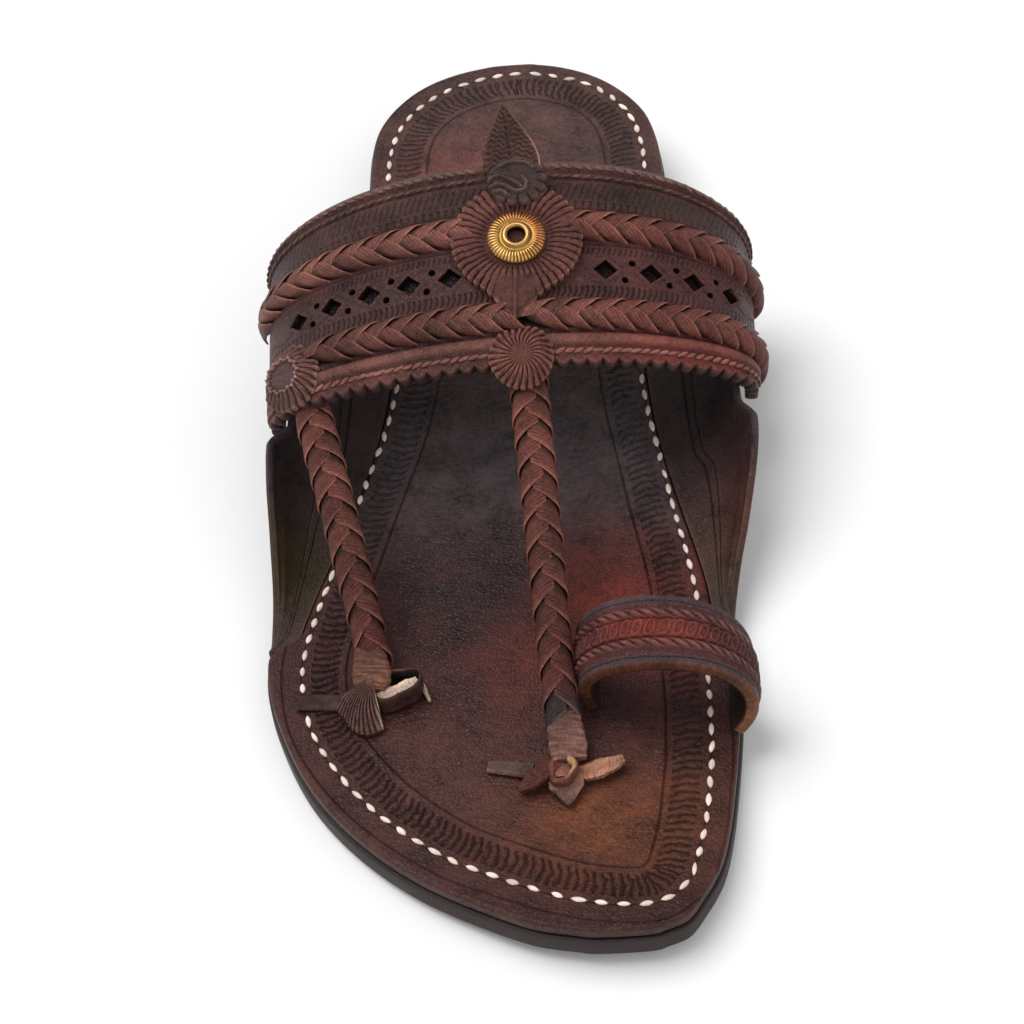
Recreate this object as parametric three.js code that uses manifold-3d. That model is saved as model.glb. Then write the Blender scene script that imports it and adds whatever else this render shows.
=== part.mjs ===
// A right kolhapuri sandal: a leather sole on a low stacked heel, two side ears, an arched band with
// raised plaits and diamond cut-outs, two plaited straps, a toe ring and leather and brass rosettes.
// Millimetres. The origin is on the floor under the centre of the heel, +X is the big toe's side,
// -Y is the toe and +Z is up.
import * as THREE from 'three';
import { mergeVertices } from 'three/addons/utils/BufferGeometryUtils.js';
import Module from 'manifold-3d';

const wasm = await Module();
wasm.setup();

// Sole sizes
const soleLength = 269;
const ballWidth = 105.5;
const heelWidth = 74;
const heelHeight = 8;
const heelLength = 61;
const heelInset = 0.8;
const outsoleThickness = 5;
const insoleThickness = 3.2;
const insoleMargin = 0.5;
const edgeRounding = 0.9;
const toeSpring = 3.5;
const clearance = 0.3;

// Ear sizes
const earWall = 2.4;
const earRearFromHeel = 87;
const earFrontFromHeel = 190;
const earSeatDepth = { lateral: 6.2, medial: 4.6 };
const earSeatTaper = 9;
const earRise = 22;
const earFlare = { from: 8, to: 13 };
const earBelly = { out: 0.86, up: 0.12 };

// Band sizes
const bandWall = 3;
const bandBackFromHeel = 90;
const bandSideBackFromHeel = 84;
const bandRun = 50.2;
const bandSideRun = 46.5;
const bandSkew = 1.3;
const instepHeight = 60.8;
const bandFrontHeight = 45.9;
const bandSpringHeight = 23;
const bandEdgeHeight = 18.5;
const bandLateralReach = 60.6;
const bandMedialReach = 54.8;
const bandCrownX = 0.6;
const archFullness = 2.15;
const bandNarrowing = 0.02;
const plaitLift = 2.4;
const plaitPitchColumns = 3;
const bandColumns = 72;
const toothDepth = 1.4;
const diamondWidth = 5.6;
const diamondLength = 5.2;
const diamondPlace = 28.4;
const lateralDiamonds = { first: -15.8, pitch: -9.7, count: 5 };
const medialDiamonds = { first: 20, pitch: 10.7, count: 4 };

// Sizes of what is fixed on the band
const leafLength = 20;
const leafWidth = 12.4;
const leafWall = 2;
const leafLean = 1.5;
const leafEnd = 5.3;
const leafKeel = 0.5;
const discRadius = 6.4;
const discWall = 1.9;
const discPlace = 6.7;
const discAcross = 0.8;
const discLobes = 12;
const medallionRadius = 14.7;
const medallionPoint = 20.8;
const medallionPlace = 20.9;
const medallionHeight = 2.3;
const medallionTeeth = 28;
const medallionToothDepth = 0.9;
const medallionDish = 0.7;
const brassRadius = 6.8;
const brassHole = 1.9;
const brassHeight = 2.2;
const brassFlutes = 20;
const brassFluteShare = 0.965;
const frontRosetteRadius = 7.4;
const frontRosettePlace = 50.2;
const sideRosetteRadius = 9.3;
const sideRosettePlace = 44.2;
const sideRosetteAcross = -59;
const rosetteHeight = 2.6;
const rosetteLobes = 16;

// Strap, wrap and peg sizes
const strapWidth = 8.7;
const strapNarrowing = 0.16;
const strapThickness = 4.4;
const strapPitch = 6;
const strapBow = 3.5;
const strapTuck = 1.3;
const strapDepth = 3.3;
const strapLobe = { lead: 0.35, share: 0.07 };
const strapRoundness = 0.8;
const strapEndHeight = 5.6;
const centreStrap = { across: 0.8, end: { x: 4.9, fromHeel: 217 }, turn: 0.05 };
const outerStrap = { across: -56.5, end: { x: -35.6, fromHeel: 196 }, turn: -0.12 };
const wrapLength = 17;
const wrapWidth = 10.5;
const wrapThickness = 4.6;
const pegThickness = 1.9;
const pegWidth = 4.6;
const pegNarrowing = 0.7;
const centrePeg = { lateral: 15.9, medial: 12.6, ahead: 9, turn: 0.12 };
const outerPeg = { lateral: 19.4, medial: 10.1, ahead: 9.5, turn: 0.1 };

// Toe ring sizes
const ringWall = 3;
const ringWidth = 38.2;
const ringHeight = 25.3;
const ringFrontDrop = 4.5;
const ringCentreX = 27.8;
const ringSpring = 8;
const ringLegShare = 0.24;
const ringTuckLateral = 1.6;
const ringTuckMedial = 3.4;
const ringBaseFromHeel = { lateral: 194, medial: 205.5 };
const ringBaseDepth = { lateral: 15.5, medial: 13 };
const ringBorder = 2.3;
const ringStep = 0.5;

// Half outlines of the sole. along is a share of the sole's length from the back of the heel, lateral and
// medial are shares of the width there, from the centre line.
const soleRows = [
  { along: 0.001, lateral: -0.066, medial: 0.044 },
  { along: 0.007, lateral: -0.180, medial: 0.140 },
  { along: 0.022, lateral: -0.306, medial: 0.258 },
  { along: 0.048, lateral: -0.411, medial: 0.366 },
  { along: 0.089, lateral: -0.492, medial: 0.457 },
  { along: 0.149, lateral: -0.520, medial: 0.495 },
  { along: 0.219, lateral: -0.512, medial: 0.492 },
  { along: 0.305, lateral: -0.493, medial: 0.452 },
  { along: 0.390, lateral: -0.466, medial: 0.400 },
  { along: 0.465, lateral: -0.461, medial: 0.376 },
  { along: 0.532, lateral: -0.477, medial: 0.377 },
  { along: 0.591, lateral: -0.504, medial: 0.390 },
  { along: 0.647, lateral: -0.542, medial: 0.409 },
  { along: 0.695, lateral: -0.573, medial: 0.421 },
  { along: 0.736, lateral: -0.571, medial: 0.425 },
  { along: 0.777, lateral: -0.544, medial: 0.419 },
  { along: 0.822, lateral: -0.499, medial: 0.406 },
  { along: 0.862, lateral: -0.439, medial: 0.391 },
  { along: 0.903, lateral: -0.351, medial: 0.373 },
  { along: 0.939, lateral: -0.246, medial: 0.348 },
  { along: 0.968, lateral: -0.128, medial: 0.309 },
  { along: 0.989, lateral: -0.019, medial: 0.269 },
  { along: 0.999, lateral: 0.095, medial: 0.199 },
];
const stationsPerRow = 3;

// Where the width grows from heel to ball, where the waist drops to the floor and where the toe lifts,
// as shares of the sole's length
const widthGrowth = { from: 0.25, to: 0.65 };
const waist = { from: 0.2268, to: 0.548 };
const toeLift = { from: 0.843, to: 1 };
const toeLiftPower = 1.6;

// Rows of the band from its back edge, as shares of its slope. lift is a share of the plait's lift, and
// lobed rows carry the plait's strips, a share of a pitch out of step with each other.
const bandRows = [
  { down: 0, lift: 0, lobe: 0, phase: 0 },
  { down: 0.242, lift: 0, lobe: 0, phase: 0 },
  { down: 0.272, lift: 0.72, lobe: 0.3, phase: 0 },
  { down: 0.328, lift: 1, lobe: 0.3, phase: 0.5 },
  { down: 0.384, lift: 0.72, lobe: 0.3, phase: 0 },
  { down: 0.414, lift: 0, lobe: 0, phase: 0 },
  { down: 0.690, lift: 0, lobe: 0, phase: 0 },
  { down: 0.716, lift: 0.72, lobe: 0.3, phase: 0 },
  { down: 0.768, lift: 1, lobe: 0.3, phase: 0.5 },
  { down: 0.820, lift: 0.72, lobe: 0.3, phase: 0 },
  { down: 0.846, lift: 0, lobe: 0, phase: 0 },
  { down: 0.938, lift: 0.35, lobe: 0, phase: 0 },
  { down: 1, lift: 0, lobe: 0, phase: 0 },
];

// The ears' upper edge. along is a share of the ear's length, lateral and medial are shares of the
// band's reach on that side, rise is a share of the ear's rise above the sole.
const earRows = [
  { along: 0, lateral: 0.86, medial: 0.88, rise: 0.6 },
  { along: 0.1, lateral: 0.94, medial: 0.94, rise: 0.96 },
  { along: 0.42, lateral: 0.98, medial: 0.96, rise: 1 },
  { along: 0.54, lateral: 0.99, medial: 0.955, rise: 0.84 },
  { along: 0.68, lateral: 0.985, medial: 0.905, rise: 0.5 },
  { along: 0.82, lateral: 0.98, medial: 0.845, rise: 0.22 },
  { along: 0.94, lateral: 0.987, medial: 0.81, rise: 0.05 },
  { along: 1, lateral: 0.995, medial: 0.805, rise: 0 },
];
const earColumns = 5;

// The leaf's half width along its length, from its tip, as shares of its width
const leafRows = [
  { along: 0, half: 0.04 },
  { along: 0.2, half: 0.2 },
  { along: 0.4, half: 0.36 },
  { along: 0.62, half: 0.5 },
  { along: 0.82, half: 0.5 },
  { along: 1, half: 0.43 },
];

const { lerp, smoothstep, clamp } = THREE.MathUtils;

// A value of each column of a table, read smoothly between its rows
function tableAt(table, share) {
  const place = clamp(share, 0, 1) * (table.length - 1);
  const low = Math.min(Math.floor(place), table.length - 2);
  const t = place - low;
  const row = (n) => table[clamp(n, 0, table.length - 1)];
  const values = {};
  for (const column of Object.keys(table[0])) {
    const a = row(low - 1)[column];
    const b = row(low)[column];
    const c = row(low + 1)[column];
    const d = row(low + 2)[column];
    values[column] = b + 0.5 * t * (c - a + t * (2 * a - 5 * b + 4 * c - d + t * (3 * (b - c) + d - a)));
  }
  return values;
}

// The same for a table whose first column is along, read at a share along
function tableAlong(table, along) {
  let low = 0;
  let high = 1;
  for (let step = 0; step < 30; step += 1) {
    const middle = (low + high) / 2;
    if (tableAt(table, middle).along < along) low = middle;
    else high = middle;
  }
  return tableAt(table, (low + high) / 2);
}

// Closed solids

function geometryFrom(points, triangles) {
  const geometry = new THREE.BufferGeometry();
  const positions = points.flatMap((point) => [point.x, point.y, point.z]);
  let volume = 0;
  for (const [a, b, c] of triangles) {
    volume += points[a].dot(new THREE.Vector3().crossVectors(points[b], points[c]));
  }
  const index = volume < 0 ? triangles.flatMap(([a, b, c]) => [a, c, b]) : triangles.flat();
  geometry.setAttribute('position', new THREE.Float32BufferAttribute(positions, 3));
  geometry.setIndex(index);
  return geometry;
}

// A solid through closed rings of points, capped with a fan at each end, or joined end to end
function loft(rings, joined = false) {
  const count = rings[0].length;
  const points = rings.flat();
  const triangles = [];
  const spans = joined ? rings.length : rings.length - 1;
  for (let i = 0; i < spans; i += 1) {
    const next = (i + 1) % rings.length;
    for (let j = 0; j < count; j += 1) {
      const k = (j + 1) % count;
      triangles.push([i * count + j, i * count + k, next * count + k]);
      triangles.push([i * count + j, next * count + k, next * count + j]);
    }
  }
  if (!joined) {
    for (const end of [0, rings.length - 1]) {
      const middle = new THREE.Vector3();
      rings[end].forEach((point) => middle.addScaledVector(point, 1 / count));
      const hub = points.push(middle) - 1;
      for (let j = 0; j < count; j += 1) {
        const k = (j + 1) % count;
        const first = end * count + j;
        const second = end * count + k;
        triangles.push(end === 0 ? [hub, second, first] : [hub, first, second]);
      }
    }
  }
  return geometryFrom(points, triangles);
}

// A wall between an outer and an inner grid of points
function wall(outer, inner) {
  const rows = outer.length;
  const columns = outer[0].length;
  const points = [...outer.flat(), ...inner.flat()];
  const at = (side, i, j) => side * rows * columns + i * columns + j;
  const triangles = [];
  const quad = (a, b, c, d) => triangles.push([a, b, c], [a, c, d]);
  for (let i = 0; i < rows - 1; i += 1) {
    for (let j = 0; j < columns - 1; j += 1) {
      quad(at(0, i, j), at(0, i, j + 1), at(0, i + 1, j + 1), at(0, i + 1, j));
      quad(at(1, i, j), at(1, i + 1, j), at(1, i + 1, j + 1), at(1, i, j + 1));
    }
    quad(at(0, i, 0), at(0, i + 1, 0), at(1, i + 1, 0), at(1, i, 0));
    const last = columns - 1;
    quad(at(0, i + 1, last), at(0, i, last), at(1, i, last), at(1, i + 1, last));
  }
  for (let j = 0; j < columns - 1; j += 1) {
    quad(at(0, 0, j + 1), at(0, 0, j), at(1, 0, j), at(1, 0, j + 1));
    const last = rows - 1;
    quad(at(0, last, j), at(0, last, j + 1), at(1, last, j + 1), at(1, last, j));
  }
  return geometryFrom(points, triangles);
}

function solidOf(geometry) {
  const merged = mergeVertices(geometry, 1e-4);
  const vertProperties = new Float32Array(merged.attributes.position.array);
  const triVerts = new Uint32Array(merged.index.array);
  return new wasm.Manifold(new wasm.Mesh({ numProp: 3, vertProperties, triVerts }));
}

function geometryOf(solid) {
  const mesh = solid.getMesh();
  const geometry = new THREE.BufferGeometry();
  geometry.setAttribute('position', new THREE.Float32BufferAttribute(mesh.vertProperties, 3));
  geometry.setIndex([...mesh.triVerts]);
  return geometry;
}

// The sole

const heelBack = heelWidth / 2;
const yFromHeel = (distance) => heelBack - distance;
const alongOf = (y) => (heelBack - y) / soleLength;
const soleStations = (soleRows.length - 1) * stationsPerRow;

function outsoleUnderside(y) {
  const along = alongOf(y);
  const heelRise = heelHeight * (1 - smoothstep(along, waist.from, waist.to));
  const toeShare = clamp((along - toeLift.from) / (toeLift.to - toeLift.from), 0, 1);
  return heelRise + toeSpring * toeShare ** toeLiftPower;
}

const outsoleTop = (y) => outsoleUnderside(y) + outsoleThickness;
const insoleUnderside = (y) => outsoleTop(y) + clearance;
const insoleTop = (y) => insoleUnderside(y) + insoleThickness;

function solePoint(side, row) {
  const width = lerp(heelWidth, ballWidth, smoothstep(row.along, widthGrowth.from, widthGrowth.to));
  return new THREE.Vector2(row[side] * width, yFromHeel(row.along * soleLength));
}

// A point of the outline at a station's share, moved in from the edge
function outlinePoint(side, share, inset) {
  const step = 0.004;
  const before = solePoint(side, tableAt(soleRows, share - step));
  const after = solePoint(side, tableAt(soleRows, share + step));
  const run = after.sub(before).normalize();
  const inward = side === 'lateral' ? new THREE.Vector2(-run.y, run.x) : new THREE.Vector2(run.y, -run.x);
  return solePoint(side, tableAt(soleRows, share)).addScaledVector(inward, inset);
}

// A layer of the sole between two heights, its upper edge rounded off
function soleLayer(insetAt, underside, top, rounding, shares) {
  const rings = shares.map((share) => {
    const ring = [];
    for (const side of ['lateral', 'medial']) {
      const inset = insetAt(side, share);
      const edge = outlinePoint(side, share, inset);
      const shoulder = outlinePoint(side, share, inset + rounding);
      const column = [
        new THREE.Vector3(edge.x, edge.y, underside(edge.y)),
        new THREE.Vector3(edge.x, edge.y, top(edge.y) - rounding),
        new THREE.Vector3(shoulder.x, shoulder.y, top(shoulder.y)),
      ];
      ring.push(...(side === 'lateral' ? column : column.reverse()));
    }
    return ring;
  });
  return loft(rings);
}

const allShares = Array.from({ length: soleStations + 1 }, (_, i) => i / soleStations);

// The insole steps in from the sole's edge where an ear lies beside it
function insoleInset(side, share) {
  const y = solePoint(side, tableAt(soleRows, share)).y;
  const fromHeel = heelBack - y;
  const rear = smoothstep(fromHeel, earRearFromHeel - earSeatTaper, earRearFromHeel);
  const front = 1 - smoothstep(fromHeel, earFrontFromHeel - earSeatTaper, earFrontFromHeel);
  return insoleMargin + earSeatDepth[side] * rear * front;
}

function makeOutsole() {
  const steps = 2 * (soleRows.length - 1);
  const shares = Array.from({ length: steps + 1 }, (_, i) => i / steps);
  return soleLayer(() => 0, outsoleUnderside, outsoleTop, edgeRounding / 2, shares);
}

function makeInsole() {
  return soleLayer(insoleInset, insoleUnderside, insoleTop, edgeRounding, allShares);
}

function makeHeel() {
  const breast = allShares.filter((share) => tableAt(soleRows, share).along < heelLength / soleLength);
  return soleLayer(() => heelInset, () => 0, () => heelHeight - clearance, edgeRounding / 3, breast);
}

// The band: a surface over the instep, read by a share across (-1 lateral edge, 1 medial edge) and a
// share down its slope from the back edge

const bandSlope = Math.hypot(bandRun, instepHeight - bandFrontHeight);

// The band narrows a little towards the toe
const bandTaper = (down) => 1 - bandNarrowing * down * down;

function archLine(side, down) {
  const top = lerp(instepHeight, bandFrontHeight, down);
  const reach = (side < 0 ? bandLateralReach : bandMedialReach) - side * bandCrownX;
  const taper = bandTaper(down);
  const points = [];
  const steps = 20;
  for (let i = 0; i <= steps; i += 1) {
    const angle = (i / steps) * (Math.PI / 2);
    const out = Math.sin(angle) ** (2 / archFullness);
    const up = Math.cos(angle) ** (2 / archFullness);
    const height = bandSpringHeight + (top - bandSpringHeight) * Math.max(up, 0);
    points.push(new THREE.Vector2(bandCrownX + side * reach * taper * out, height));
  }
  points.push(new THREE.Vector2(bandCrownX + side * reach * taper, bandEdgeHeight));
  return points;
}

function lengths(points) {
  const run = [0];
  for (let i = 1; i < points.length; i += 1) run.push(run[i - 1] + points[i].distanceTo(points[i - 1]));
  return run;
}

function bandPoint(across, down) {
  const side = across < 0 ? -1 : 1;
  const line = archLine(side, down);
  const run = lengths(line);
  const target = Math.abs(across) * run[run.length - 1];
  let i = 1;
  while (i < run.length - 1 && run[i] < target) i += 1;
  const point = line[i - 1].clone().lerp(line[i], (target - run[i - 1]) / (run[i] - run[i - 1]));
  const crownY = yFromHeel(bandBackFromHeel + bandRun * down);
  const sideY = yFromHeel(bandSideBackFromHeel + bandSideRun * down);
  const y = lerp(crownY, sideY, Math.min(Math.abs(across), 1) ** 4) + bandSkew * across * down;
  return new THREE.Vector3(point.x, y, point.y);
}

function bandNormal(across, down) {
  const step = 0.01;
  const ahead = bandPoint(across + step, down).sub(bandPoint(across - step, down));
  const along = bandPoint(across, down + step).sub(bandPoint(across, down - step));
  return along.cross(ahead).normalize();
}

// Length of the band's arch from its crown to an edge, half way down
function halfArch(side) {
  const run = lengths(archLine(side, 0.5));
  return run[run.length - 1];
}

const archLength = { lateral: halfArch(-1), medial: halfArch(1) };
const acrossShare = (across) => across / (across < 0 ? archLength.lateral : archLength.medial);

// A point on the band at millimetres across from its crown and down from its back edge
function onBand(across, down, lift) {
  const share = acrossShare(across);
  const place = bandPoint(share, down / bandSlope);
  return place.addScaledVector(bandNormal(share, down / bandSlope), lift);
}

// Where pieces lie on the band its relief fades out under them, over a margin round their rims
const seatMargin = { from: 3, to: 5.5 };
const bandSeats = [
  { across: 0, down: discPlace, radius: discRadius },
  { across: 0, down: leafEnd - leafLength * 0.3, radius: leafWidth / 2 },
  { across: 0, down: medallionPlace, radius: medallionRadius },
  { across: 0, down: medallionPlace + medallionPoint * 0.8, radius: medallionRadius * 0.4 },
  { across: 0, down: frontRosettePlace, radius: frontRosetteRadius },
  { across: sideRosetteAcross, down: sideRosettePlace, radius: sideRosetteRadius },
];

function seatFade(across, down) {
  let fade = 1;
  for (const seat of bandSeats) {
    const distance = Math.hypot(across - seat.across, down - seat.down);
    const clear = smoothstep(distance, seat.radius + seatMargin.from, seat.radius + seatMargin.to);
    fade = Math.min(fade, clear);
  }
  return fade;
}

function makeBand() {
  const outer = [];
  const inner = [];
  bandRows.forEach((row, i) => {
    const outerRow = [];
    const innerRow = [];
    for (let j = 0; j <= bandColumns; j += 1) {
      const share = (2 * j) / bandColumns - 1;
      const across = share * (share < 0 ? archLength.lateral : archLength.medial);
      const turn = 2 * Math.PI * (j / plaitPitchColumns + row.phase);
      const fade = seatFade(across, row.down * bandSlope);
      const lift = plaitLift * (row.lift - row.lobe * (0.5 - 0.5 * Math.cos(turn))) * fade;
      const tooth = i === bandRows.length - 1 && j % 2 === 1 ? toothDepth / bandSlope : 0;
      const down = row.down - tooth;
      const normal = bandNormal(share, down);
      outerRow.push(bandPoint(share, down).addScaledVector(normal, lift));
      innerRow.push(bandPoint(share, down).addScaledVector(normal, -bandWall));
    }
    outer.push(outerRow);
    inner.push(innerRow);
  });
  return wall(outer, inner);
}

// A four-sided cutter through the band's wall
function diamondCutter(across) {
  const corners = [[-0.5, 0], [0, -0.5], [0.5, 0], [0, 0.5]];
  const rings = [-2 * bandWall, bandWall].map((lift) => corners.map(([x, y]) => {
    return onBand(across + x * diamondWidth, diamondPlace + y * diamondLength, lift);
  }));
  return loft(rings);
}

// A plaited strap: a rounded strip whose upper strips stand up as lobes in turn
function strapCurve(start, end) {
  const middle = start.clone().lerp(end, 0.5);
  middle.z += 2 * strapBow;
  return new THREE.QuadraticBezierCurve3(start, middle, end);
}

function makeStrap(start, end) {
  const curve = strapCurve(start, end);
  const ringsPerPitch = 3;
  const steps = Math.round((curve.getLength() / strapPitch) * ringsPerPitch);
  const sideways = new THREE.Vector3().subVectors(end, start).cross(new THREE.Vector3(0, 0, 1)).normalize();
  const sides = 8;
  const rings = [];
  for (let i = 0; i <= steps; i += 1) {
    const place = curve.getPointAt(i / steps);
    const up = new THREE.Vector3().crossVectors(sideways, curve.getTangentAt(i / steps)).normalize();
    const width = strapWidth * (1 - (strapNarrowing * i) / steps);
    const ring = [];
    for (let j = 0; j < sides; j += 1) {
      const angle = (2 * Math.PI * j) / sides;
      const turn = 2 * Math.PI * (i / ringsPerPitch + strapLobe.lead * Math.abs(Math.cos(angle)));
      const lobe = 1 + strapLobe.share * Math.cos(turn) * Math.max(Math.sin(angle), 0.3);
      const x = Math.sign(Math.cos(angle)) * Math.abs(Math.cos(angle)) ** strapRoundness;
      const z = Math.sign(Math.sin(angle)) * Math.abs(Math.sin(angle)) ** strapRoundness;
      ring.push(place.clone()
        .addScaledVector(sideways, (x * lobe * width) / 2)
        .addScaledVector(up, (z * lobe * strapThickness) / 2));
    }
    rings.push(ring);
  }
  return loft(rings);
}

function strapEndPoint(end) {
  const y = yFromHeel(end.fromHeel);
  return new THREE.Vector3(end.x, y, insoleTop(y) + strapEndHeight);
}

function strapStartPoint(across) {
  return onBand(across, bandSlope - strapTuck, -strapDepth);
}

// The band and the two plaited straps are one upper, joined at the band's front edge
function makeUpper() {
  let solid = solidOf(makeBand());
  for (const set of [lateralDiamonds, medialDiamonds]) {
    for (let i = 0; i < set.count; i += 1) {
      const across = set.first + set.pitch * i;
      solid = solid.subtract(solidOf(diamondCutter(across)));
    }
  }
  for (const { across, end } of [centreStrap, outerStrap]) {
    solid = solid.add(solidOf(makeStrap(strapStartPoint(across), strapEndPoint(end))));
  }
  return geometryOf(solid);
}

// The ears: walls that lie beside the insole and rise outwards to the inside of the band

function bandInsideX(side, y, height) {
  const down = clamp((yFromHeel(bandSideBackFromHeel) - y) / bandSideRun, 0, 1);
  const top = lerp(instepHeight, bandFrontHeight, down);
  const crown = side === 'lateral' ? -bandCrownX : bandCrownX;
  const reach = (side === 'lateral' ? bandLateralReach : bandMedialReach) - crown;
  const above = clamp((height - bandSpringHeight) / (top - bandSpringHeight), 0, 1);
  const out = (1 - above ** archFullness) ** (1 / archFullness);
  return crown + reach * bandTaper(down) * out - bandWall - 2 * clearance;
}

function makeEar(side) {
  const outward = side === 'lateral' ? -1 : 1;
  const outer = [];
  const inner = [];
  const stations = allShares.filter((share) => {
    const fromHeel = tableAt(soleRows, share).along * soleLength;
    return fromHeel >= earRearFromHeel && fromHeel <= earFrontFromHeel - earSeatTaper / 3;
  });
  stations.forEach((share, i) => {
    const shape = tableAlong(earRows, i / (stations.length - 1));
    const foot = outlinePoint(side, share, insoleInset(side, share) - clearance);
    const edge = outlinePoint(side, share, 0);
    const base = outsoleTop(foot.y) + clearance;
    const rise = Math.max(shape.rise, 0) * earRise;
    const free = shape[side] * (side === 'lateral' ? bandLateralReach : bandMedialReach);
    const lapped = Math.min(free, bandInsideX(side, foot.y, base + rise));
    const pastBand = heelBack - foot.y - bandSideBackFromHeel - bandSideRun;
    const reach = lerp(lapped, free, smoothstep(pastBand, earFlare.from, earFlare.to));
    const low = new THREE.Vector2(Math.abs(foot.x), base);
    const high = new THREE.Vector2(Math.max(reach, low.x + edgeRounding), base + rise);
    const corner = new THREE.Vector2(lerp(low.x, high.x, earBelly.out), base + rise * earBelly.up);
    const curve = new THREE.QuadraticBezierCurve(low, corner, high);
    const outerRow = [];
    const innerRow = [];
    for (let j = 0; j <= earColumns; j += 1) {
      const place = curve.getPoint(j / earColumns);
      const run = curve.getTangent(j / earColumns);
      const y = lerp(foot.y, edge.y, j / earColumns);
      outerRow.push(new THREE.Vector3(outward * place.x, y, place.y));
      const liftX = j === 0 ? 0 : -run.y * earWall;
      const liftZ = j === 0 ? earWall : run.x * earWall;
      innerRow.push(new THREE.Vector3(outward * (place.x + liftX), y, place.y + liftZ));
    }
    outer.push(outerRow);
    inner.push(innerRow);
  });
  return wall(outer, inner);
}

// Pieces on the band

const medallionTop = clearance + medallionHeight;
const discBase = medallionTop + clearance;

function makeLeaf() {
  const outer = [];
  const inner = [];
  const halfColumns = 3;
  const steps = 9;
  for (let i = 0; i <= steps; i += 1) {
    const along = i / steps;
    const half = tableAlong(leafRows, along).half * leafWidth;
    const down = leafEnd - leafLength * (1 - along);
    const outerRow = [];
    const innerRow = [];
    for (let j = -halfColumns; j <= halfColumns; j += 1) {
      const across = (j / halfColumns) * half - leafLean * (1 - along);
      const keel = leafKeel * (1 - Math.abs(j) / halfColumns);
      outerRow.push(onBand(across, down, clearance + leafWall + keel));
      innerRow.push(onBand(across, down, clearance));
    }
    outer.push(outerRow);
    inner.push(innerRow);
  }
  return wall(outer, inner);
}

// A disc laid on the band through rings of a share of its rim and a height
function bandDisc(across, down, rimAt, rows, segments) {
  const rings = rows.map(({ rim, height }) => {
    const ring = [];
    for (let j = 0; j < segments; j += 1) {
      const angle = (2 * Math.PI * j) / segments;
      const radius = rim * rimAt(angle, rim);
      ring.push(onBand(across + radius * Math.sin(angle), down + radius * Math.cos(angle), height));
    }
    return ring;
  });
  return loft(rings);
}

// Rim of the medallion: a circle with straight sides that meet in a point towards the toe
function medallionRim(angle, rim) {
  const turn = Math.abs(Math.atan2(Math.sin(angle), Math.cos(angle)));
  const corner = Math.acos(medallionRadius / medallionPoint);
  const smooth = turn < corner ? medallionRadius / Math.cos(corner - turn) : medallionRadius;
  const tooth = 0.5 * (1 - Math.cos(angle * medallionTeeth)) * medallionToothDepth;
  return smooth - (rim > 0.9 ? tooth : 0);
}

function makeMedallion() {
  const rows = [
    { rim: 0.12, height: clearance },
    { rim: 1, height: clearance },
    { rim: 1, height: clearance + medallionHeight * 0.5 },
    { rim: 0.78, height: medallionTop },
    { rim: 0.48, height: medallionTop - medallionDish },
    { rim: 0.12, height: medallionTop - medallionDish },
  ];
  return bandDisc(0, medallionPlace, medallionRim, rows, 2 * medallionTeeth);
}

function makeCurledDisc() {
  const rim = (angle, share) => discRadius * (share > 0.9 ? 1 + 0.05 * Math.cos(discLobes * angle) : 1);
  const rows = [
    { rim: 0.2, height: discBase },
    { rim: 1, height: discBase },
    { rim: 1, height: discBase + discWall * 0.6 },
    { rim: 0.7, height: discBase + discWall },
    { rim: 0.2, height: discBase + discWall * 0.7 },
  ];
  return bandDisc(discAcross, discPlace, rim, rows, 2 * discLobes);
}

function makeRosette(across, down, radius, domed) {
  const rim = (angle, share) => radius * (share > 0.9 ? 1 + 0.045 * Math.cos(rosetteLobes * angle) : 1);
  const rows = [
    { rim: 0.2, height: clearance },
    { rim: 0.6, height: clearance },
    { rim: 1, height: clearance },
    { rim: 1, height: clearance + rosetteHeight * 0.4 },
    { rim: 0.62, height: clearance + rosetteHeight },
    { rim: 0.25, height: clearance + rosetteHeight * domed },
  ];
  return bandDisc(across, down, rim, rows, 2 * rosetteLobes);
}

// The brass stud: a fluted ring with a raised collar round its hole, flat on the medallion
function makeBrassRosette() {
  const down = medallionPlace / bandSlope;
  const normal = bandNormal(0, down);
  const base = medallionTop - medallionDish + clearance;
  const centre = onBand(0, medallionPlace, base);
  const sideways = new THREE.Vector3(1, 0, 0).addScaledVector(normal, -normal.x).normalize();
  const forward = new THREE.Vector3().crossVectors(sideways, normal);
  const rows = [
    { radius: brassHole, height: 0 },
    { radius: brassRadius * 0.96, height: 0 },
    { radius: brassRadius, height: brassHeight * 0.28 },
    { radius: brassRadius * 0.6, height: brassHeight * 0.66 },
    { radius: brassRadius * 0.52, height: brassHeight * 0.62 },
    { radius: brassRadius * 0.44, height: brassHeight },
    { radius: brassHole, height: brassHeight * 0.9 },
  ];
  const segments = 2 * brassFlutes;
  const rings = rows.map(({ radius, height }) => {
    const ring = [];
    for (let j = 0; j < segments; j += 1) {
      const angle = (2 * Math.PI * j) / segments;
      const flute = radius > brassRadius * 0.55 && j % 2 === 1 ? brassFluteShare : 1;
      ring.push(centre.clone()
        .addScaledVector(sideways, radius * flute * Math.sin(angle))
        .addScaledVector(forward, radius * flute * Math.cos(angle))
        .addScaledVector(normal, height));
    }
    return ring;
  });
  return loft(rings, true);
}

// Wrapped ends of the plaits and the flat pegs under them, both lying on the insole

const pegTop = clearance + pegThickness;

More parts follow.
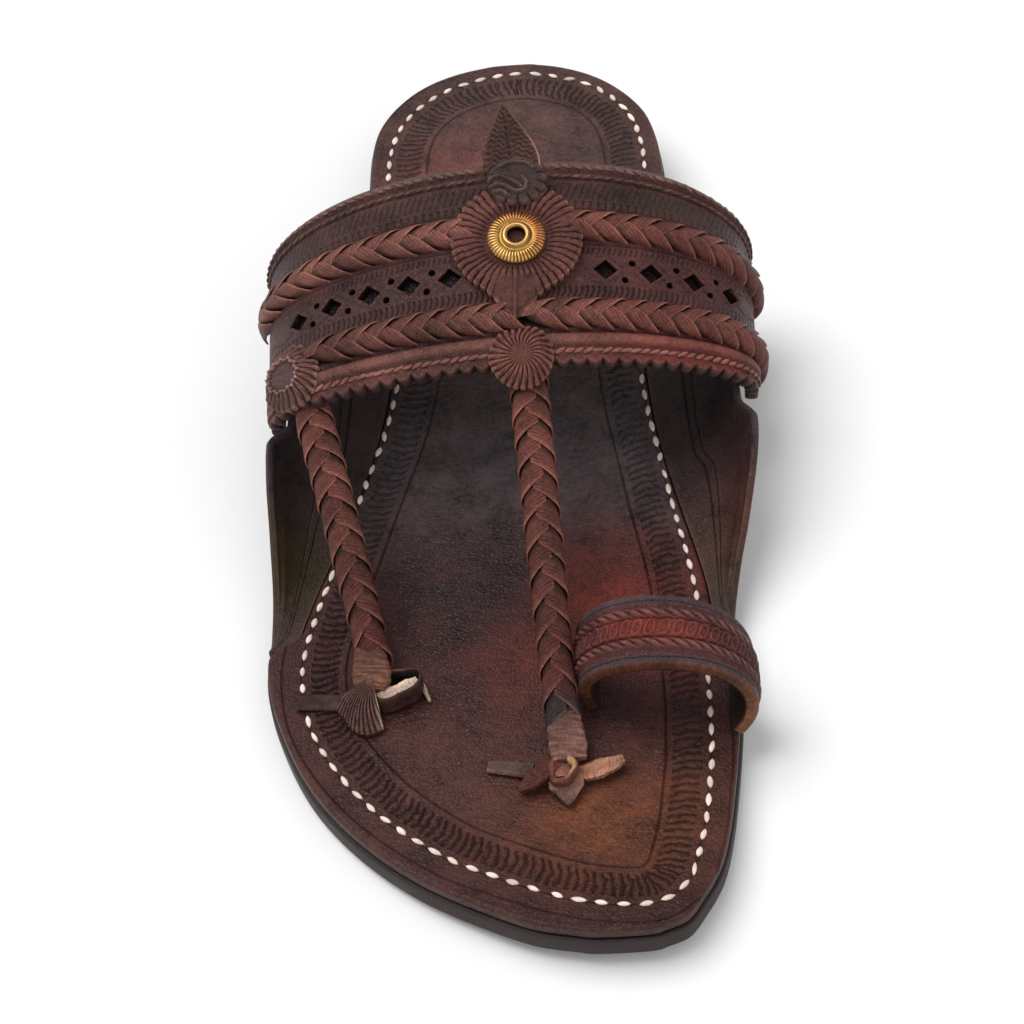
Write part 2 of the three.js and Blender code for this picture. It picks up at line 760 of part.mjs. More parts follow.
function makeWrap({ across, end, turn }) {
  const start = strapEndPoint(end);
  const slope = strapCurve(strapStartPoint(across), start).getTangentAt(1);
  const heading = new THREE.Vector3(Math.sin(turn), -Math.cos(turn), 0);
  const sideways = new THREE.Vector3().crossVectors(slope, new THREE.Vector3(0, 0, 1)).normalize();
  const first = start.clone().addScaledVector(slope, clearance);
  const rest = insoleTop(first.y) + pegTop + clearance + wrapThickness / 2;
  const bend = first.clone().addScaledVector(slope, Math.max(first.z - rest, 0.5) / -slope.z);
  const last = bend.clone().addScaledVector(heading, wrapLength - bend.distanceTo(first));
  const curve = new THREE.QuadraticBezierCurve3(first, bend, last);
  const sections = [
    { along: 0, width: 0.84, height: 0.8 },
    { along: 0.3, width: 0.86, height: 0.84 },
    { along: 0.55, width: 0.8, height: 0.78 },
    { along: 0.78, width: 1, height: 1 },
    { along: 0.94, width: 0.8, height: 0.8 },
    { along: 1, width: 0.45, height: 0.4 },
  ];
  const sides = 10;
  const rings = sections.map((section) => {
    const place = curve.getPointAt(section.along);
    const up = new THREE.Vector3().crossVectors(sideways, curve.getTangentAt(section.along)).normalize();
    const ring = [];
    for (let j = 0; j < sides; j += 1) {
      const angle = (2 * Math.PI * j) / sides;
      const point = place.clone()
        .addScaledVector(sideways, (Math.cos(angle) * section.width * wrapWidth) / 2)
        .addScaledVector(up, (Math.sin(angle) * section.height * wrapThickness) / 2);
      point.z = Math.max(point.z, insoleTop(point.y) + pegTop + clearance);
      ring.push(point);
    }
    return ring;
  });
  return loft(rings);
}

function makePeg({ end }, { lateral, medial, ahead, turn }) {
  const rings = [];
  const steps = 4;
  for (let i = 0; i <= steps; i += 1) {
    const across = lerp(-lateral, medial, i / steps);
    const x = end.x + across;
    const y = yFromHeel(end.fromHeel + ahead) + Math.tan(turn) * (across + (lateral - medial) / 2);
    const half = (pegWidth / 2) * (i === 0 || i === steps ? pegNarrowing : 1);
    const corners = [[-half, 0], [half, 0], [half, pegThickness], [-half, pegThickness]];
    const base = insoleTop(y) + clearance;
    rings.push(corners.map(([run, height]) => new THREE.Vector3(x, y + run, base + height)));
  }
  return loft(rings);
}

// The toe ring: a loop from the insole over the big toe, with a stepped stamped face

function ringPoint(across, down, lift) {
  const lateral = across < 0.5;
  const side = lateral ? -1 : 1;
  const outward = Math.abs(across - 0.5) * 2;
  const height = ringHeight - ringFrontDrop * down - ringSpring;
  let x = ringWidth / 2;
  let z = 0;
  if (outward < 1 - ringLegShare) {
    const angle = (outward / (1 - ringLegShare)) * (Math.PI / 2);
    x *= Math.sin(angle) ** (2 / archFullness);
    z = ringSpring + height * Math.cos(angle) ** (2 / archFullness);
  } else {
    const fall = (outward - 1 + ringLegShare) / ringLegShare;
    x -= (lateral ? ringTuckLateral : ringTuckMedial) * fall * fall;
    z = ringSpring * (1 - fall);
  }
  const backFromHeel = lerp(ringBaseFromHeel.lateral, ringBaseFromHeel.medial, across);
  const depth = lerp(ringBaseDepth.lateral, ringBaseDepth.medial, across);
  const y = yFromHeel(backFromHeel + depth * down);
  const point = new THREE.Vector3(ringCentreX + side * x, y, insoleTop(y) + clearance + z);
  if (lift === 0) return point;
  const step = 0.004;
  const before = ringPoint(Math.max(across - step, 0), down, 0);
  const run = ringPoint(Math.min(across + step, 1), down, 0).sub(before);
  const normal = new THREE.Vector3(-run.z, 0, run.x).normalize();
  point.addScaledVector(normal, lift);
  point.z = Math.max(point.z, insoleTop(y) + clearance);
  return point;
}

function makeToeRing() {
  const border = ringBorder / ringBaseDepth.lateral;
  const rows = [
    { down: 0, lift: 0 },
    { down: border, lift: 0 },
    { down: border * 1.3, lift: ringStep },
    { down: 1 - border * 1.3, lift: ringStep },
    { down: 1 - border, lift: 0 },
    { down: 1, lift: 0 },
  ];
  const columns = 30;
  const grid = (liftOf) => rows.map((row) => Array.from({ length: columns + 1 }, (_, j) => {
    return ringPoint(j / columns, row.down, liftOf(row));
  }));
  return wall(grid((row) => row.lift), grid(() => -ringWall));
}

// Leather and brass finishes, and the finished group

const leathers = {
  sole: { color: 0x2a2422, roughness: 0.7, metalness: 0 },
  insole: { color: 0x3e2420, roughness: 0.5, metalness: 0 },
  band: { color: 0x48282a, roughness: 0.55, metalness: 0 },
  ear: { color: 0x2f1f1e, roughness: 0.5, metalness: 0 },
  rosette: { color: 0x4a2826, roughness: 0.6, metalness: 0 },
  ring: { color: 0x40201e, roughness: 0.5, metalness: 0 },
  peg: { color: 0x9a6238, roughness: 0.8, metalness: 0 },
  brass: { color: 0xa8762c, roughness: 0.35, metalness: 1 },
};

const frontRosette = makeRosette(0, frontRosettePlace, frontRosetteRadius, 0.5);
const sideRosette = makeRosette(sideRosetteAcross, sideRosettePlace, sideRosetteRadius, 1);

const pieces = [
  ['outsole', makeOutsole(), leathers.sole],
  ['heel', makeHeel(), leathers.sole],
  ['insole', makeInsole(), leathers.insole],
  ['ear_lateral', makeEar('lateral'), leathers.ear],
  ['ear_medial', makeEar('medial'), leathers.ear],
  ['upper', makeUpper(), leathers.band],
  ['leaf_tongue', makeLeaf(), leathers.rosette],
  ['curled_disc', makeCurledDisc(), leathers.rosette],
  ['medallion', makeMedallion(), leathers.rosette],
  ['brass_rosette', makeBrassRosette(), leathers.brass],
  ['front_rosette', frontRosette, leathers.rosette],
  ['side_rosette', sideRosette, leathers.rosette],
  ['centre_wrap', makeWrap(centreStrap), leathers.rosette],
  ['outer_wrap', makeWrap(outerStrap), leathers.rosette],
  ['centre_peg', makePeg(centreStrap, centrePeg), leathers.peg],
  ['outer_peg', makePeg(outerStrap, outerPeg), leathers.peg],
  ['toe_ring', makeToeRing(), leathers.ring],
];

const sandal = new THREE.Group();
for (const [name, geometry, finish] of pieces) {
  const mesh = new THREE.Mesh(geometry, new THREE.MeshStandardMaterial(finish));
  mesh.name = name;
  sandal.add(mesh);
}

export default sandal;
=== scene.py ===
import math

import bpy
import numpy as np
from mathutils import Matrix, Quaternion, Vector


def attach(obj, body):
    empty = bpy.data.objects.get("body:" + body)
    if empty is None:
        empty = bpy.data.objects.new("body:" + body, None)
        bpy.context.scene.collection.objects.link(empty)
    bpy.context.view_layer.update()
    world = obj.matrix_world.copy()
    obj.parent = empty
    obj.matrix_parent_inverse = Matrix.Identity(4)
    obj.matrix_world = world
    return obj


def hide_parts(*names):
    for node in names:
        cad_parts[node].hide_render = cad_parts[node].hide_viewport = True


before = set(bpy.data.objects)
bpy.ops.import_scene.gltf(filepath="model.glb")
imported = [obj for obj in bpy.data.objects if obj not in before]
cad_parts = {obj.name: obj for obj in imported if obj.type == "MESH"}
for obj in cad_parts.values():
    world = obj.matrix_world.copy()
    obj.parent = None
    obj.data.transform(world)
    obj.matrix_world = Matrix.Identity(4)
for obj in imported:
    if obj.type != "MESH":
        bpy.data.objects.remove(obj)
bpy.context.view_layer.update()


# OUTSOLE AND HEEL
# One thickness of hard, black-dyed buffalo hide cut to the foot's outline, with a second piece pegged under
# the heel. Both edges are rasped, wetted and rubbed until they shine, and the floor side stays rough.
MM = 0.001
SOLE_LENGTH = 269
HEEL_BACK = 37
HEEL_HEIGHT = 8
HEEL_LENGTH = 61
HEEL_INSET = 0.8
TOE_SPRING = 3.5
TOE_CURL = 1.6
OUTSOLE_THICKNESS = 5
INSOLE_THICKNESS = 3.2
OUTSOLE_ROUNDING = 0.7
HEEL_ROUNDING = 0.5
CLEARANCE = 0.3
WAIST = (0.2268, 0.548)
TOE_LIFT = (0.843, 1)
# How finely the sole's outline is read, all round and then along each side
OUTLINE_STEPS = 6000
SIDE_STEPS = 380


def linear(code):
    """An sRGB hex colour as linear red, green and blue"""
    values = np.array([int(code[i : i + 2], 16) for i in (1, 3, 5)]) / 255
    return np.where(values <= 0.04045, values / 12.92, ((values + 0.055) / 1.055) ** 2.4)


def ease(low, high, value):
    """0 below low, 1 above high and a smooth rise between"""
    share = np.clip((np.asarray(value, float) - low) / (high - low), 0, 1)
    return share * share * (3 - 2 * share)


def hump(value, middle, half):
    """A smooth hump of height 1 at middle that ends half away from it"""
    return 1 - ease(0, half, np.abs(np.asarray(value, float) - middle))


def tint(first, second, share):
    """One colour turned into another by a share at each point, both as hex codes or as linear values"""
    first, second = (linear(colour) if isinstance(colour, str) else colour for colour in (first, second))
    return first + (second - first) * np.asarray(share, float)[..., None]


def smooth_line(points, shares):
    """Places on a smooth curve through the rows of points, at shares of its run of rows"""
    points = np.asarray(points, float)
    place = np.clip(shares, 0, 1) * (len(points) - 1)
    low = np.minimum(place.astype(int), len(points) - 2)
    t = (place - low)[..., None]
    a, b, c, d = (points[np.clip(low + n, 0, len(points) - 1)] for n in (-1, 0, 1, 2))
    return b + 0.5 * t * (c - a + t * (2 * a - 5 * b + 4 * c - d + t * (3 * (b - c) + d - a)))


def unit(vectors):
    """Rows of vectors, each made 1 long"""
    return vectors / np.linalg.norm(vectors, axis=-1, keepdims=True)


def finish_mesh(piece, angle=40):
    """Turns the faces outwards and shades them smooth up to an angle"""
    bpy.ops.object.select_all(action="DESELECT")
    piece.select_set(True)
    bpy.context.view_layer.objects.active = piece
    bpy.ops.object.mode_set(mode="EDIT")
    bpy.ops.mesh.select_all(action="SELECT")
    bpy.ops.mesh.normals_make_consistent(inside=False)
    bpy.ops.object.mode_set(mode="OBJECT")
    bpy.ops.object.shade_smooth_by_angle(angle=math.radians(angle))


def dye_mesh(mesh, dye):
    """Gives each corner of a mesh its dye, and a whole mesh the same when there is only one"""
    colours = np.ones((len(mesh.vertices), 4))
    colours[:, :3] = dye
    mesh.color_attributes.new("dye", "FLOAT_COLOR", "POINT").data.foreach_set("color", colours.ravel())


def map_mesh(mesh, uv):
    """Gives each corner of a mesh its place on the UV map, in mm"""
    corners = np.empty(len(mesh.loops), int)
    mesh.loops.foreach_get("vertex_index", corners)
    layer = mesh.uv_layers.active or mesh.uv_layers.new(name="UVMap")
    layer.data.foreach_set("uv", uv[corners].ravel())


def laid(name, points, uv, dye, closed=True, angle=40):
    """A grid whose corners lie at points, rows by columns in mm, with a UV map in mm and a dye colour. A
    closed one joins its last column to its first and caps its first and last row."""
    rows, columns = points.shape[:2]
    bpy.ops.object.select_all(action="DESELECT")
    bpy.ops.mesh.primitive_grid_add(x_subdivisions=columns - 1, y_subdivisions=rows - 1, size=1)
    piece = bpy.context.object
    piece.name = piece.data.name = name
    mesh = piece.data
    mesh.vertices.foreach_set("co", (points.reshape(-1, 3) * MM).ravel())
    map_mesh(mesh, uv.reshape(-1, 2))
    dye_mesh(mesh, np.broadcast_to(dye, points.shape).reshape(-1, 3))
    bpy.ops.object.mode_set(mode="EDIT")
    bpy.ops.mesh.select_all(action="SELECT")
    bpy.ops.mesh.remove_doubles(threshold=0.002 * MM)
    if closed:
        bpy.ops.mesh.fill_holes(sides=0)
    bpy.ops.object.mode_set(mode="OBJECT")
    finish_mesh(piece, angle)
    return piece


def along(y):
    """Share of the sole's length from the back of the heel"""
    return (HEEL_BACK - y) / SOLE_LENGTH


def outsole_under(y):
    toe = np.clip((along(y) - TOE_LIFT[0]) / (TOE_LIFT[1] - TOE_LIFT[0]), 0, 1)
    return HEEL_HEIGHT * (1 - ease(*WAIST, along(y))) + TOE_SPRING * toe**TOE_CURL


def outsole_top(y):
    return outsole_under(y) + OUTSOLE_THICKNESS


def insole_top(y):
    return outsole_top(y) + CLEARANCE + INSOLE_THICKNESS


def sole_sides():
    """The sole's lateral and medial edges, heel to toe, and the way inward from each: a smooth closed line
    through the outsole's corners that stand above each other, parted at the heel's back and the toe's tip"""
    heights = {}
    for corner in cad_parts["outsole"].data.vertices:
        x, y, z = (round(value / MM, 2) for value in corner.co)
        heights.setdefault((x, y), set()).add(z)
    edge = np.array([place for place, levels in heights.items() if len(levels) > 1])
    turn = np.arctan2(-edge[:, 0], edge[:, 1] - edge[:, 1].mean()) % (2 * math.pi)
    ring = edge[np.argsort(turn)]
    ring = np.concatenate([ring[-1:], ring, ring[:2]])
    line = smooth_line(ring, np.linspace(1, len(ring) - 2, OUTLINE_STEPS) / (len(ring) - 1))[:-1]
    run = np.roll(line, -12, axis=0) - np.roll(line, 12, axis=0)
    inward = unit(np.stack([-run[:, 1], run[:, 0]], -1))
    line, inward = (np.roll(rows, -line[:, 1].argmax(), axis=0) for rows in (line, inward))
    toe = line[:, 1].argmin()
    sides = {"lateral": np.arange(toe + 1), "medial": np.arange(len(line), toe - 1, -1) % len(line)}
    for side, rows in sides.items():
        sides[side] = rows[np.linspace(0, len(rows) - 1, SIDE_STEPS).astype(int)]
    return {side: np.concatenate([line, inward], 1)[rows] for side, rows in sides.items()}


SIDES = sole_sides()


def sole_edge(side, shares, inset):
    """The outline at shares of its length, moved in from the edge"""
    edge = smooth_line(SIDES[side], shares)
    return edge[..., :2] + edge[..., 2:] * np.asarray(inset)[..., None]


def sole_layer(name, inset, under, top, rounding, shares, columns, uv_of, dye_of):
    """A layer of the sole as one skin: up its lateral side, over it, down its medial side and back below"""
    quarter = np.linspace(0, math.pi / 2, 4)
    corner = [(rounding * (1 - math.sin(a)), rounding * (1 - math.cos(a))) for a in quarter]
    skin = []
    for side in ("lateral", "medial"):
        wall = []
        for level, rise, points in ((under, 1, corner), (top, -1, corner[::-1])):
            for extra, height in points:
                edge = sole_edge(side, shares, inset(side, shares) + extra)
                wall.append(np.column_stack([edge, level(edge[:, 1]) + rise * height]))
        skin.append(wall if side == "lateral" else wall[::-1])
    lateral, medial = skin
    over = []
    for share in np.linspace(0, 1, columns + 2)[1:-1]:
        flat = lateral[-1] + (medial[0] - lateral[-1]) * share
        flat[:, 2] = top(flat[:, 1])
        over.append(flat)
    back = []
    for share in np.linspace(0, 1, 8)[1:-1]:
        flat = medial[-1] + (lateral[0] - medial[-1]) * share
        flat[:, 2] = under(flat[:, 1])
        back.append(flat)
    points = np.stack([*lateral, *over, *medial, *back, lateral[0]], 1)
    return laid(name, points, uv_of(points), dye_of(points))


def flat_uv(points):
    return points[..., :2].copy()


def edge_dye(points):
    """Black edges worn to brown half way up, and a dusty grey-brown floor side"""
    height = points[..., 2] - outsole_under(points[..., 1])
    edge = tint("#2b2322", "#473a37", hump(height, 2.6, 1.8))
    return tint("#4a3f39", edge, ease(0.05, 0.5, height))


def heel_dye(points):
    """Black, worn to brown half way up, with a dusty floor side"""
    edge = tint("#2b2322", "#3d3230", hump(points[..., 2], 4.5, 3))
    return tint("#4a3f39", edge, ease(0.05, 0.5, points[..., 2]))


def add(tree, kind, settings=(), links=()):
    """Adds a node, sets its properties and unlinked inputs, and links its inputs from nodes or sockets"""
    node = tree.nodes.new("ShaderNode" + kind)
    for name, value in dict(settings).items():
        if isinstance(name, int) or name in node.inputs:
            node.inputs[name].default_value = value
        else:
            setattr(node, name, value)
    for name, source in dict(links).items():
        tree.links.new(getattr(source, "outputs", [source])[0], node.inputs[name])
    return node


def blank_material(name):
    """A new material with its tree and shader, and the nodes for the place in space and the dye"""
    material = bpy.data.materials.new(name)
    material.use_nodes = True
    tree = material.node_tree
    place = add(tree, "TexCoord").outputs["Object"]
    dye = add(tree, "Attribute", {"attribute_name": "dye"})
    return material, tree, tree.nodes["Principled BSDF"], place, dye


def finish_with(tree, shader, **inputs):
    """Links nodes to the shader's inputs, whose names are written with _ for a space"""
    for name, node in inputs.items():
        tree.links.new(node.outputs[0], shader.inputs[name.replace("_", " ")])


def stamped_row(tree, uv, row):
    """Height of a row of tool marks between two places of V, struck by hand at about a pitch along U. They
    lean, or bow as crescents do, are wider the higher their power, and stray by a shake in mm."""
    start, stop, pitch, lean, depth, bow, power, stray = row
    shake = add(tree, "TexNoise", {"Scale": 0.45, "Detail": 1}, {"Vector": uv})
    drift = {"operation": "MULTIPLY_ADD", 1: (stray, stray * 0.6, 0)}
    shake = add(tree, "VectorMath", drift, {0: shake.outputs["Color"], 2: uv})
    apart = add(tree, "SeparateXYZ", links={0: shake})
    centre = (start + stop) / 2 + stray * 0.3
    middle = add(tree, "Math", {"operation": "SUBTRACT", 1: centre}, {0: apart.outputs[1]})
    bent = add(tree, "Math", {"operation": "MULTIPLY_ADD", 1: bow, 2: lean}, {0: middle})
    leaned = add(tree, "Math", {"operation": "MULTIPLY_ADD"}, {0: middle, 1: bent, 2: apart.outputs[0]})
    turn = add(tree, "Math", {"operation": "MULTIPLY", 1: math.pi / pitch}, {0: leaned})
    wave = add(tree, "Math", {"operation": "SINE"}, {0: turn})
    mark = add(tree, "Math", {"operation": "ABSOLUTE"}, {0: wave})
    sharp = add(tree, "Math", {"operation": "POWER", 1: power}, {0: mark})
    half = (stop - start) / 2
    away = add(tree, "Math", {"operation": "ABSOLUTE"}, {0: middle})
    inside = add(tree, "MapRange", {"From Min": half, "From Max": half * 0.8}, {"Value": away})
    inside.interpolation_type = "SMOOTHSTEP"
    raised = add(tree, "Math", {"operation": "SUBTRACT", 1: 1.0}, {0: sharp})
    cut = add(tree, "Math", {"operation": "MULTIPLY"}, {0: raised, 1: inside})
    return add(tree, "Math", {"operation": "MULTIPLY", 1: depth}, {0: cut})


def groove(tree, uv, place, width, depth):
    """Height of a line scored along U at a place of V"""
    apart = add(tree, "SeparateXYZ", links={0: uv})
    away = add(tree, "Math", {"operation": "SUBTRACT", 1: place}, {0: apart.outputs[1]})
    away = add(tree, "Math", {"operation": "ABSOLUTE"}, {0: away})
    line = add(tree, "MapRange", {"From Min": width / 2, "From Max": 0, "To Max": -depth}, {"Value": away})
    line.interpolation_type = "SMOOTHSTEP"
    return line


def oiled_leather(name, grain=0.75, grain_depth=0.05, wrinkle=0.1, mottle=0.45, gloss=0.5, rows=(), lines=()):
    """Vegetable-tanned hide, dyed by hand, oiled and rubbed: uneven colour, pores, fine wrinkles and a soft
    waxy shine. grain is the size of its pores in mm, and rows and lines are the tool marks on the UV map, as
    stamped_row and groove take them."""
    material, tree, shader, place, dye = blank_material(name)
    uv = add(tree, "TexCoord").outputs["UV"]
    # Dye takes unevenly over the hide, in patches of a centimetre and in specks of a millimetre
    patches = add(tree, "TexNoise", {"Scale": 95, "Detail": 6, "Roughness": 0.68}, {"Vector": place})
    specks = add(tree, "TexNoise", {"Scale": 1 / MM, "Detail": 3, "Roughness": 0.75}, {"Vector": place})
    uneven = add(tree, "Math", {"operation": "MULTIPLY_ADD", 1: 0.7}, {0: specks, 2: patches})
    spread = {"From Min": 0.6, "From Max": 1.1, "To Min": 1 - mottle, "To Max": 1 + mottle}
    shade = add(tree, "MapRange", spread, {"Value": uneven})
    colour = add(tree, "VectorMath", {"operation": "SCALE"}, {0: dye, "Scale": shade})
    # Raised edges are rubbed lighter and dye and wax stay in the creases, and the same map also paints
    # highlights on raised edges and shade in creases
    shape = add(tree, "NewGeometry").outputs["Pointiness"]
    edge_light_and_crease_shade = {"From Min": 0.43, "From Max": 0.57, "To Min": 0.35, "To Max": 1.65}
    rubbed_and_painted_light = add(tree, "MapRange", edge_light_and_crease_shade, {"Value": shape})
    colour = add(tree, "VectorMath", {"operation": "SCALE"}, {0: colour, "Scale": rubbed_and_painted_light})
    # Cells of the grain with fine creases between them, and short wrinkles
    cells = {"Scale": 1 / (grain * MM), "feature": "DISTANCE_TO_EDGE"}
    pores = add(tree, "TexVoronoi", cells, {"Vector": place}).outputs["Distance"]
    pores = add(tree, "MapRange", {"From Max": 0.22, "To Max": grain_depth}, {"Value": pores})
    stretch = add(tree, "Mapping", {"Scale": (260, 620, 620)}, {"Vector": place})
    crumpled = {"Scale": 1, "Detail": 4, "Roughness": 0.6, "Distortion": 0.8}
    folds = add(tree, "TexNoise", crumpled, {"Vector": stretch})
    folds = add(tree, "Math", {"operation": "MULTIPLY", 1: wrinkle}, {0: folds})
    height = add(tree, "Math", {"operation": "ADD"}, {0: pores, 1: folds})
    marks = None
    for mark in [stamped_row(tree, uv, row) for row in rows] + [groove(tree, uv, *line) for line in lines]:
        marks = mark if marks is None else add(tree, "Math", {"operation": "ADD"}, {0: marks, 1: mark})
    if marks is not None:
        height = add(tree, "Math", {"operation": "ADD"}, {0: height, 1: marks})
        # Dye and wax gather in the cuts, and the cuts are darkened further as painted shade
        cut_dye_and_shade = add(tree, "MapRange", {"From Min": -0.5, "From Max": 0, "To Min": 0.34}, {"Value": marks})
        colour = add(tree, "VectorMath", {"operation": "SCALE"}, {0: colour, "Scale": cut_dye_and_shade})
    bump = add(tree, "Bump", {"Strength": 1, "Distance": MM}, {"Height": height})
    shine = {"From Min": 0.35, "From Max": 0.7, "To Min": gloss - 0.1, "To Max": gloss + 0.16}
    rough = add(tree, "MapRange", shine, {"Value": patches})
    finish_with(tree, shader, Base_Color=colour, Normal=bump, Roughness=rough)
    shader.inputs["IOR"].default_value = 1.5
    shader.inputs["Specular IOR Level"].default_value = 0.19
    return material


def wear(piece, material, slot, *nodes):
    """Gives a piece its material and its place in the sandal"""
    piece.data.materials.clear()
    piece.data.materials.append(material)
    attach(piece, "root")
    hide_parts(*nodes)


outsole = sole_layer(
    "outsole_hide", inset=lambda side, s: 0 * s, under=outsole_under, top=outsole_top,
    rounding=OUTSOLE_ROUNDING, shares=np.linspace(0, 1, 260), columns=20, uv_of=flat_uv, dye_of=edge_dye,
)
heel_stations = np.linspace(0, 1, 400)
from_back = along(smooth_line(SIDES["lateral"], heel_stations)[:, 1])
heel = sole_layer(
    "heel_lift", inset=lambda side, s: HEEL_INSET + 0 * s, under=lambda y: 0 * y,
    top=lambda y: 0 * y + HEEL_HEIGHT - CLEARANCE, rounding=HEEL_ROUNDING,
    shares=heel_stations[from_back < HEEL_LENGTH / SOLE_LENGTH], columns=12, uv_of=flat_uv, dye_of=heel_dye,
)
# Hard hide, close to black, with a dull shine where its edge was rubbed
sole_leather = oiled_leather("black dyed buffalo hide, burnished edge", grain=0.9, mottle=0.35, gloss=0.5)
wear(outsole, sole_leather, "sole_leather", "outsole")
wear(heel, sole_leather, "sole_leather", "heel")


# INSOLE
# The upper hide that the foot stands on: dyed almost black, oiled, and worn red-brown and tan where the
# toes and heel rub. Its edge carries a tooled border, and a row of waxed cream thread sews it to the sole.
INSOLE_MARGIN = 0.5
INSOLE_ROUNDING = 0.9
EAR_SEAT = {"lateral": 6.2, "medial": 4.6}
EAR_TAPER = 9
EAR_REAR = 87
EAR_FRONT = 190
# The line of the thread, chosen round the sole from the back of the heel by the lateral side
STITCH_LINE = [
    (0, 31.8), (-12, 29.6), (-22.5, 23.6), (-30, 13.5), (-33, 0), (-33, -18), (-32.4, -36), (-30.3, -52),
    (-30.4, -68), (-33.8, -86), (-39.2, -104), (-46.4, -130), (-49.2, -140), (-51.7, -151), (-52.3, -160),
    (-50.7, -171), (-47.1, -180), (-41.9, -188.5), (-35.6, -196.4), (-28.2, -203.6), (-19.6, -210.4),
    (-11.2, -215), (-1.8, -219.6), (7.2, -223), (16.8, -224.8), (23, -224.5), (26.6, -222.2), (29.7, -218.8),
    (31.6, -213.4), (33.9, -204), (35.4, -193.8), (36.4, -185.3), (36.9, -166), (36.2, -146), (34.7, -131),
    (32.4, -116), (30, -98.7), (27.7, -82), (27, -66), (27.2, -52), (30, -36), (31.4, -18), (31.6, 0),
    (28.6, 13.5), (21.4, 23.6), (11, 29.6),
]
BORDER_PITCH = 2.1
# Worn and stained places, and a patch of painted light under the band: colour, strength, place across and
# along, and how wide and long each spreads
INSOLE_WEAR_AND_PAINTED_LIGHT = [
    # The grey patch at 0, -98 under the band is painted light that lifts the band's shadow
    ("#391815", 1, 10, -160, 60, 45), ("#564a4c", 1, 0, -98, 50, 22), ("#241415", 0.9, -8, -138, 22, 15),
    ("#6c2a1e", 0.9, 17, -146, 13, 20), ("#58241c", 0.8, -3, -163, 9, 12), ("#331f24", 0.7, 14, -172, 10, 10),
    ("#432622", 1, -22, -190, 34, 27), ("#62351f", 0.95, 15, -203, 20, 14), ("#533a36", 0.9, 0, 5, 45, 40),
    ("#8a4238", 0.95, -15, -28, 16, 24),
]


def insole_inset(side, shares):
    from_heel = HEEL_BACK - smooth_line(SIDES[side], shares)[:, 1]
    rear = ease(EAR_REAR - EAR_TAPER, EAR_REAR, from_heel)
    front = 1 - ease(EAR_FRONT - EAR_TAPER, EAR_FRONT, from_heel)
    return INSOLE_MARGIN + EAR_SEAT[side] * rear * front


def closed_line(points, count):
    """Evenly spaced places on a smooth closed curve through points, and the length of each from the first"""
    wrapped = np.array([points[-1], *points, points[0], points[1]], float)
    shares = np.linspace(1 / (len(wrapped) - 1), 1 - 1 / (len(wrapped) - 1), 8 * count)
    fine = smooth_line(wrapped, shares)
    run = np.concatenate([[0], np.cumsum(np.linalg.norm(np.diff(fine, axis=0), axis=1))])
    even = np.linspace(0, run[-1], count, endpoint=False)
    return np.stack([np.interp(even, run, fine[:, i]) for i in range(2)], 1), even, run[-1]


STITCHES, STITCH_RUN, STITCH_LENGTH = closed_line(STITCH_LINE, 900)


def border_uv(points):
    """U runs along the thread and V into the insole from it, both in mm"""
    flat = points[..., :2].reshape(-1, 2)
    apart = np.linalg.norm(flat[:, None, :] - STITCHES[None], axis=2)
    nearest = apart.argmin(axis=1)
    run = unit(np.roll(STITCHES, -1, axis=0) - np.roll(STITCHES, 1, axis=0))
    offset = flat - STITCHES[nearest]
    inward = -(run[nearest, 0] * offset[:, 1] - run[nearest, 1] * offset[:, 0])
    forward = (run[nearest] * offset).sum(axis=1)
    sign = np.where(inward < 0, 1.0, -1.0)
    u = STITCH_RUN[nearest] + forward
    v = np.sqrt(np.maximum((offset**2).sum(axis=1) - forward**2, 0)) * sign
    return np.stack([u, v], -1).reshape(*points.shape[:2], 2)


def spot(points, x, y, wide, long):
    """A soft patch round a place"""
    return np.exp(-(((points[..., 0] - x) / wide) ** 2) - (((points[..., 1] - y) / long) ** 2))


def insole_dye(points):
    """Nearly black, red-brown where it is worn, tan under the big toe, and grey beneath the band, which is
    painted light that lifts the band's shadow
    """
    dye = "#331b19"
    for code, strength, x, y, wide, long in INSOLE_WEAR_AND_PAINTED_LIGHT:
        dye = tint(dye, code, strength * spot(points, x, y, wide, long))
    height = insole_top(points[..., 1]) - points[..., 2]
    return tint(dye, "#3a2a26", ease(0.15, 1.2, height))


insole = sole_layer(
    "insole_hide", inset=insole_inset, under=lambda y: outsole_top(y) + CLEARANCE, top=insole_top,
    rounding=INSOLE_ROUNDING, shares=np.linspace(0, 1, 330), columns=100, uv_of=border_uv, dye_of=insole_dye,
)
# Oiled hide that took the dye in blotches and creased under the foot, with a row of stamped crescents
insole_leather = oiled_leather(
    "oiled insole hide with tooled border", grain=1.0, grain_depth=0.08, wrinkle=0.42, mottle=0.7, gloss=0.36,
    rows=[(1.8, 8.4, BORDER_PITCH, 0.2, 0.5, 0.07, 0.95, 1.9)],
    lines=[(0, 1.2, 0.22), (9.8, 0.8, 0.35), (-4.6, 0.7, 0.3)],
)
wear(insole, insole_leather, "insole_leather", "insole")


# SADDLE STITCHES
# Thick waxed cream thread through the insole and the sole, sewn by hand. Each stitch is a plump lens that
# dives into its hole at both ends, and no two are quite alike.
STITCH_PITCH = 4.7
STITCH_SIZE = (3.3, 1.3, 0.9)
STITCH_LIFT = 0.12
# The outer peg's root lies over the row here, so that no stitch shows
PEG_ROOT_Y = -166
PEG_ROOT_HALF = 3.2


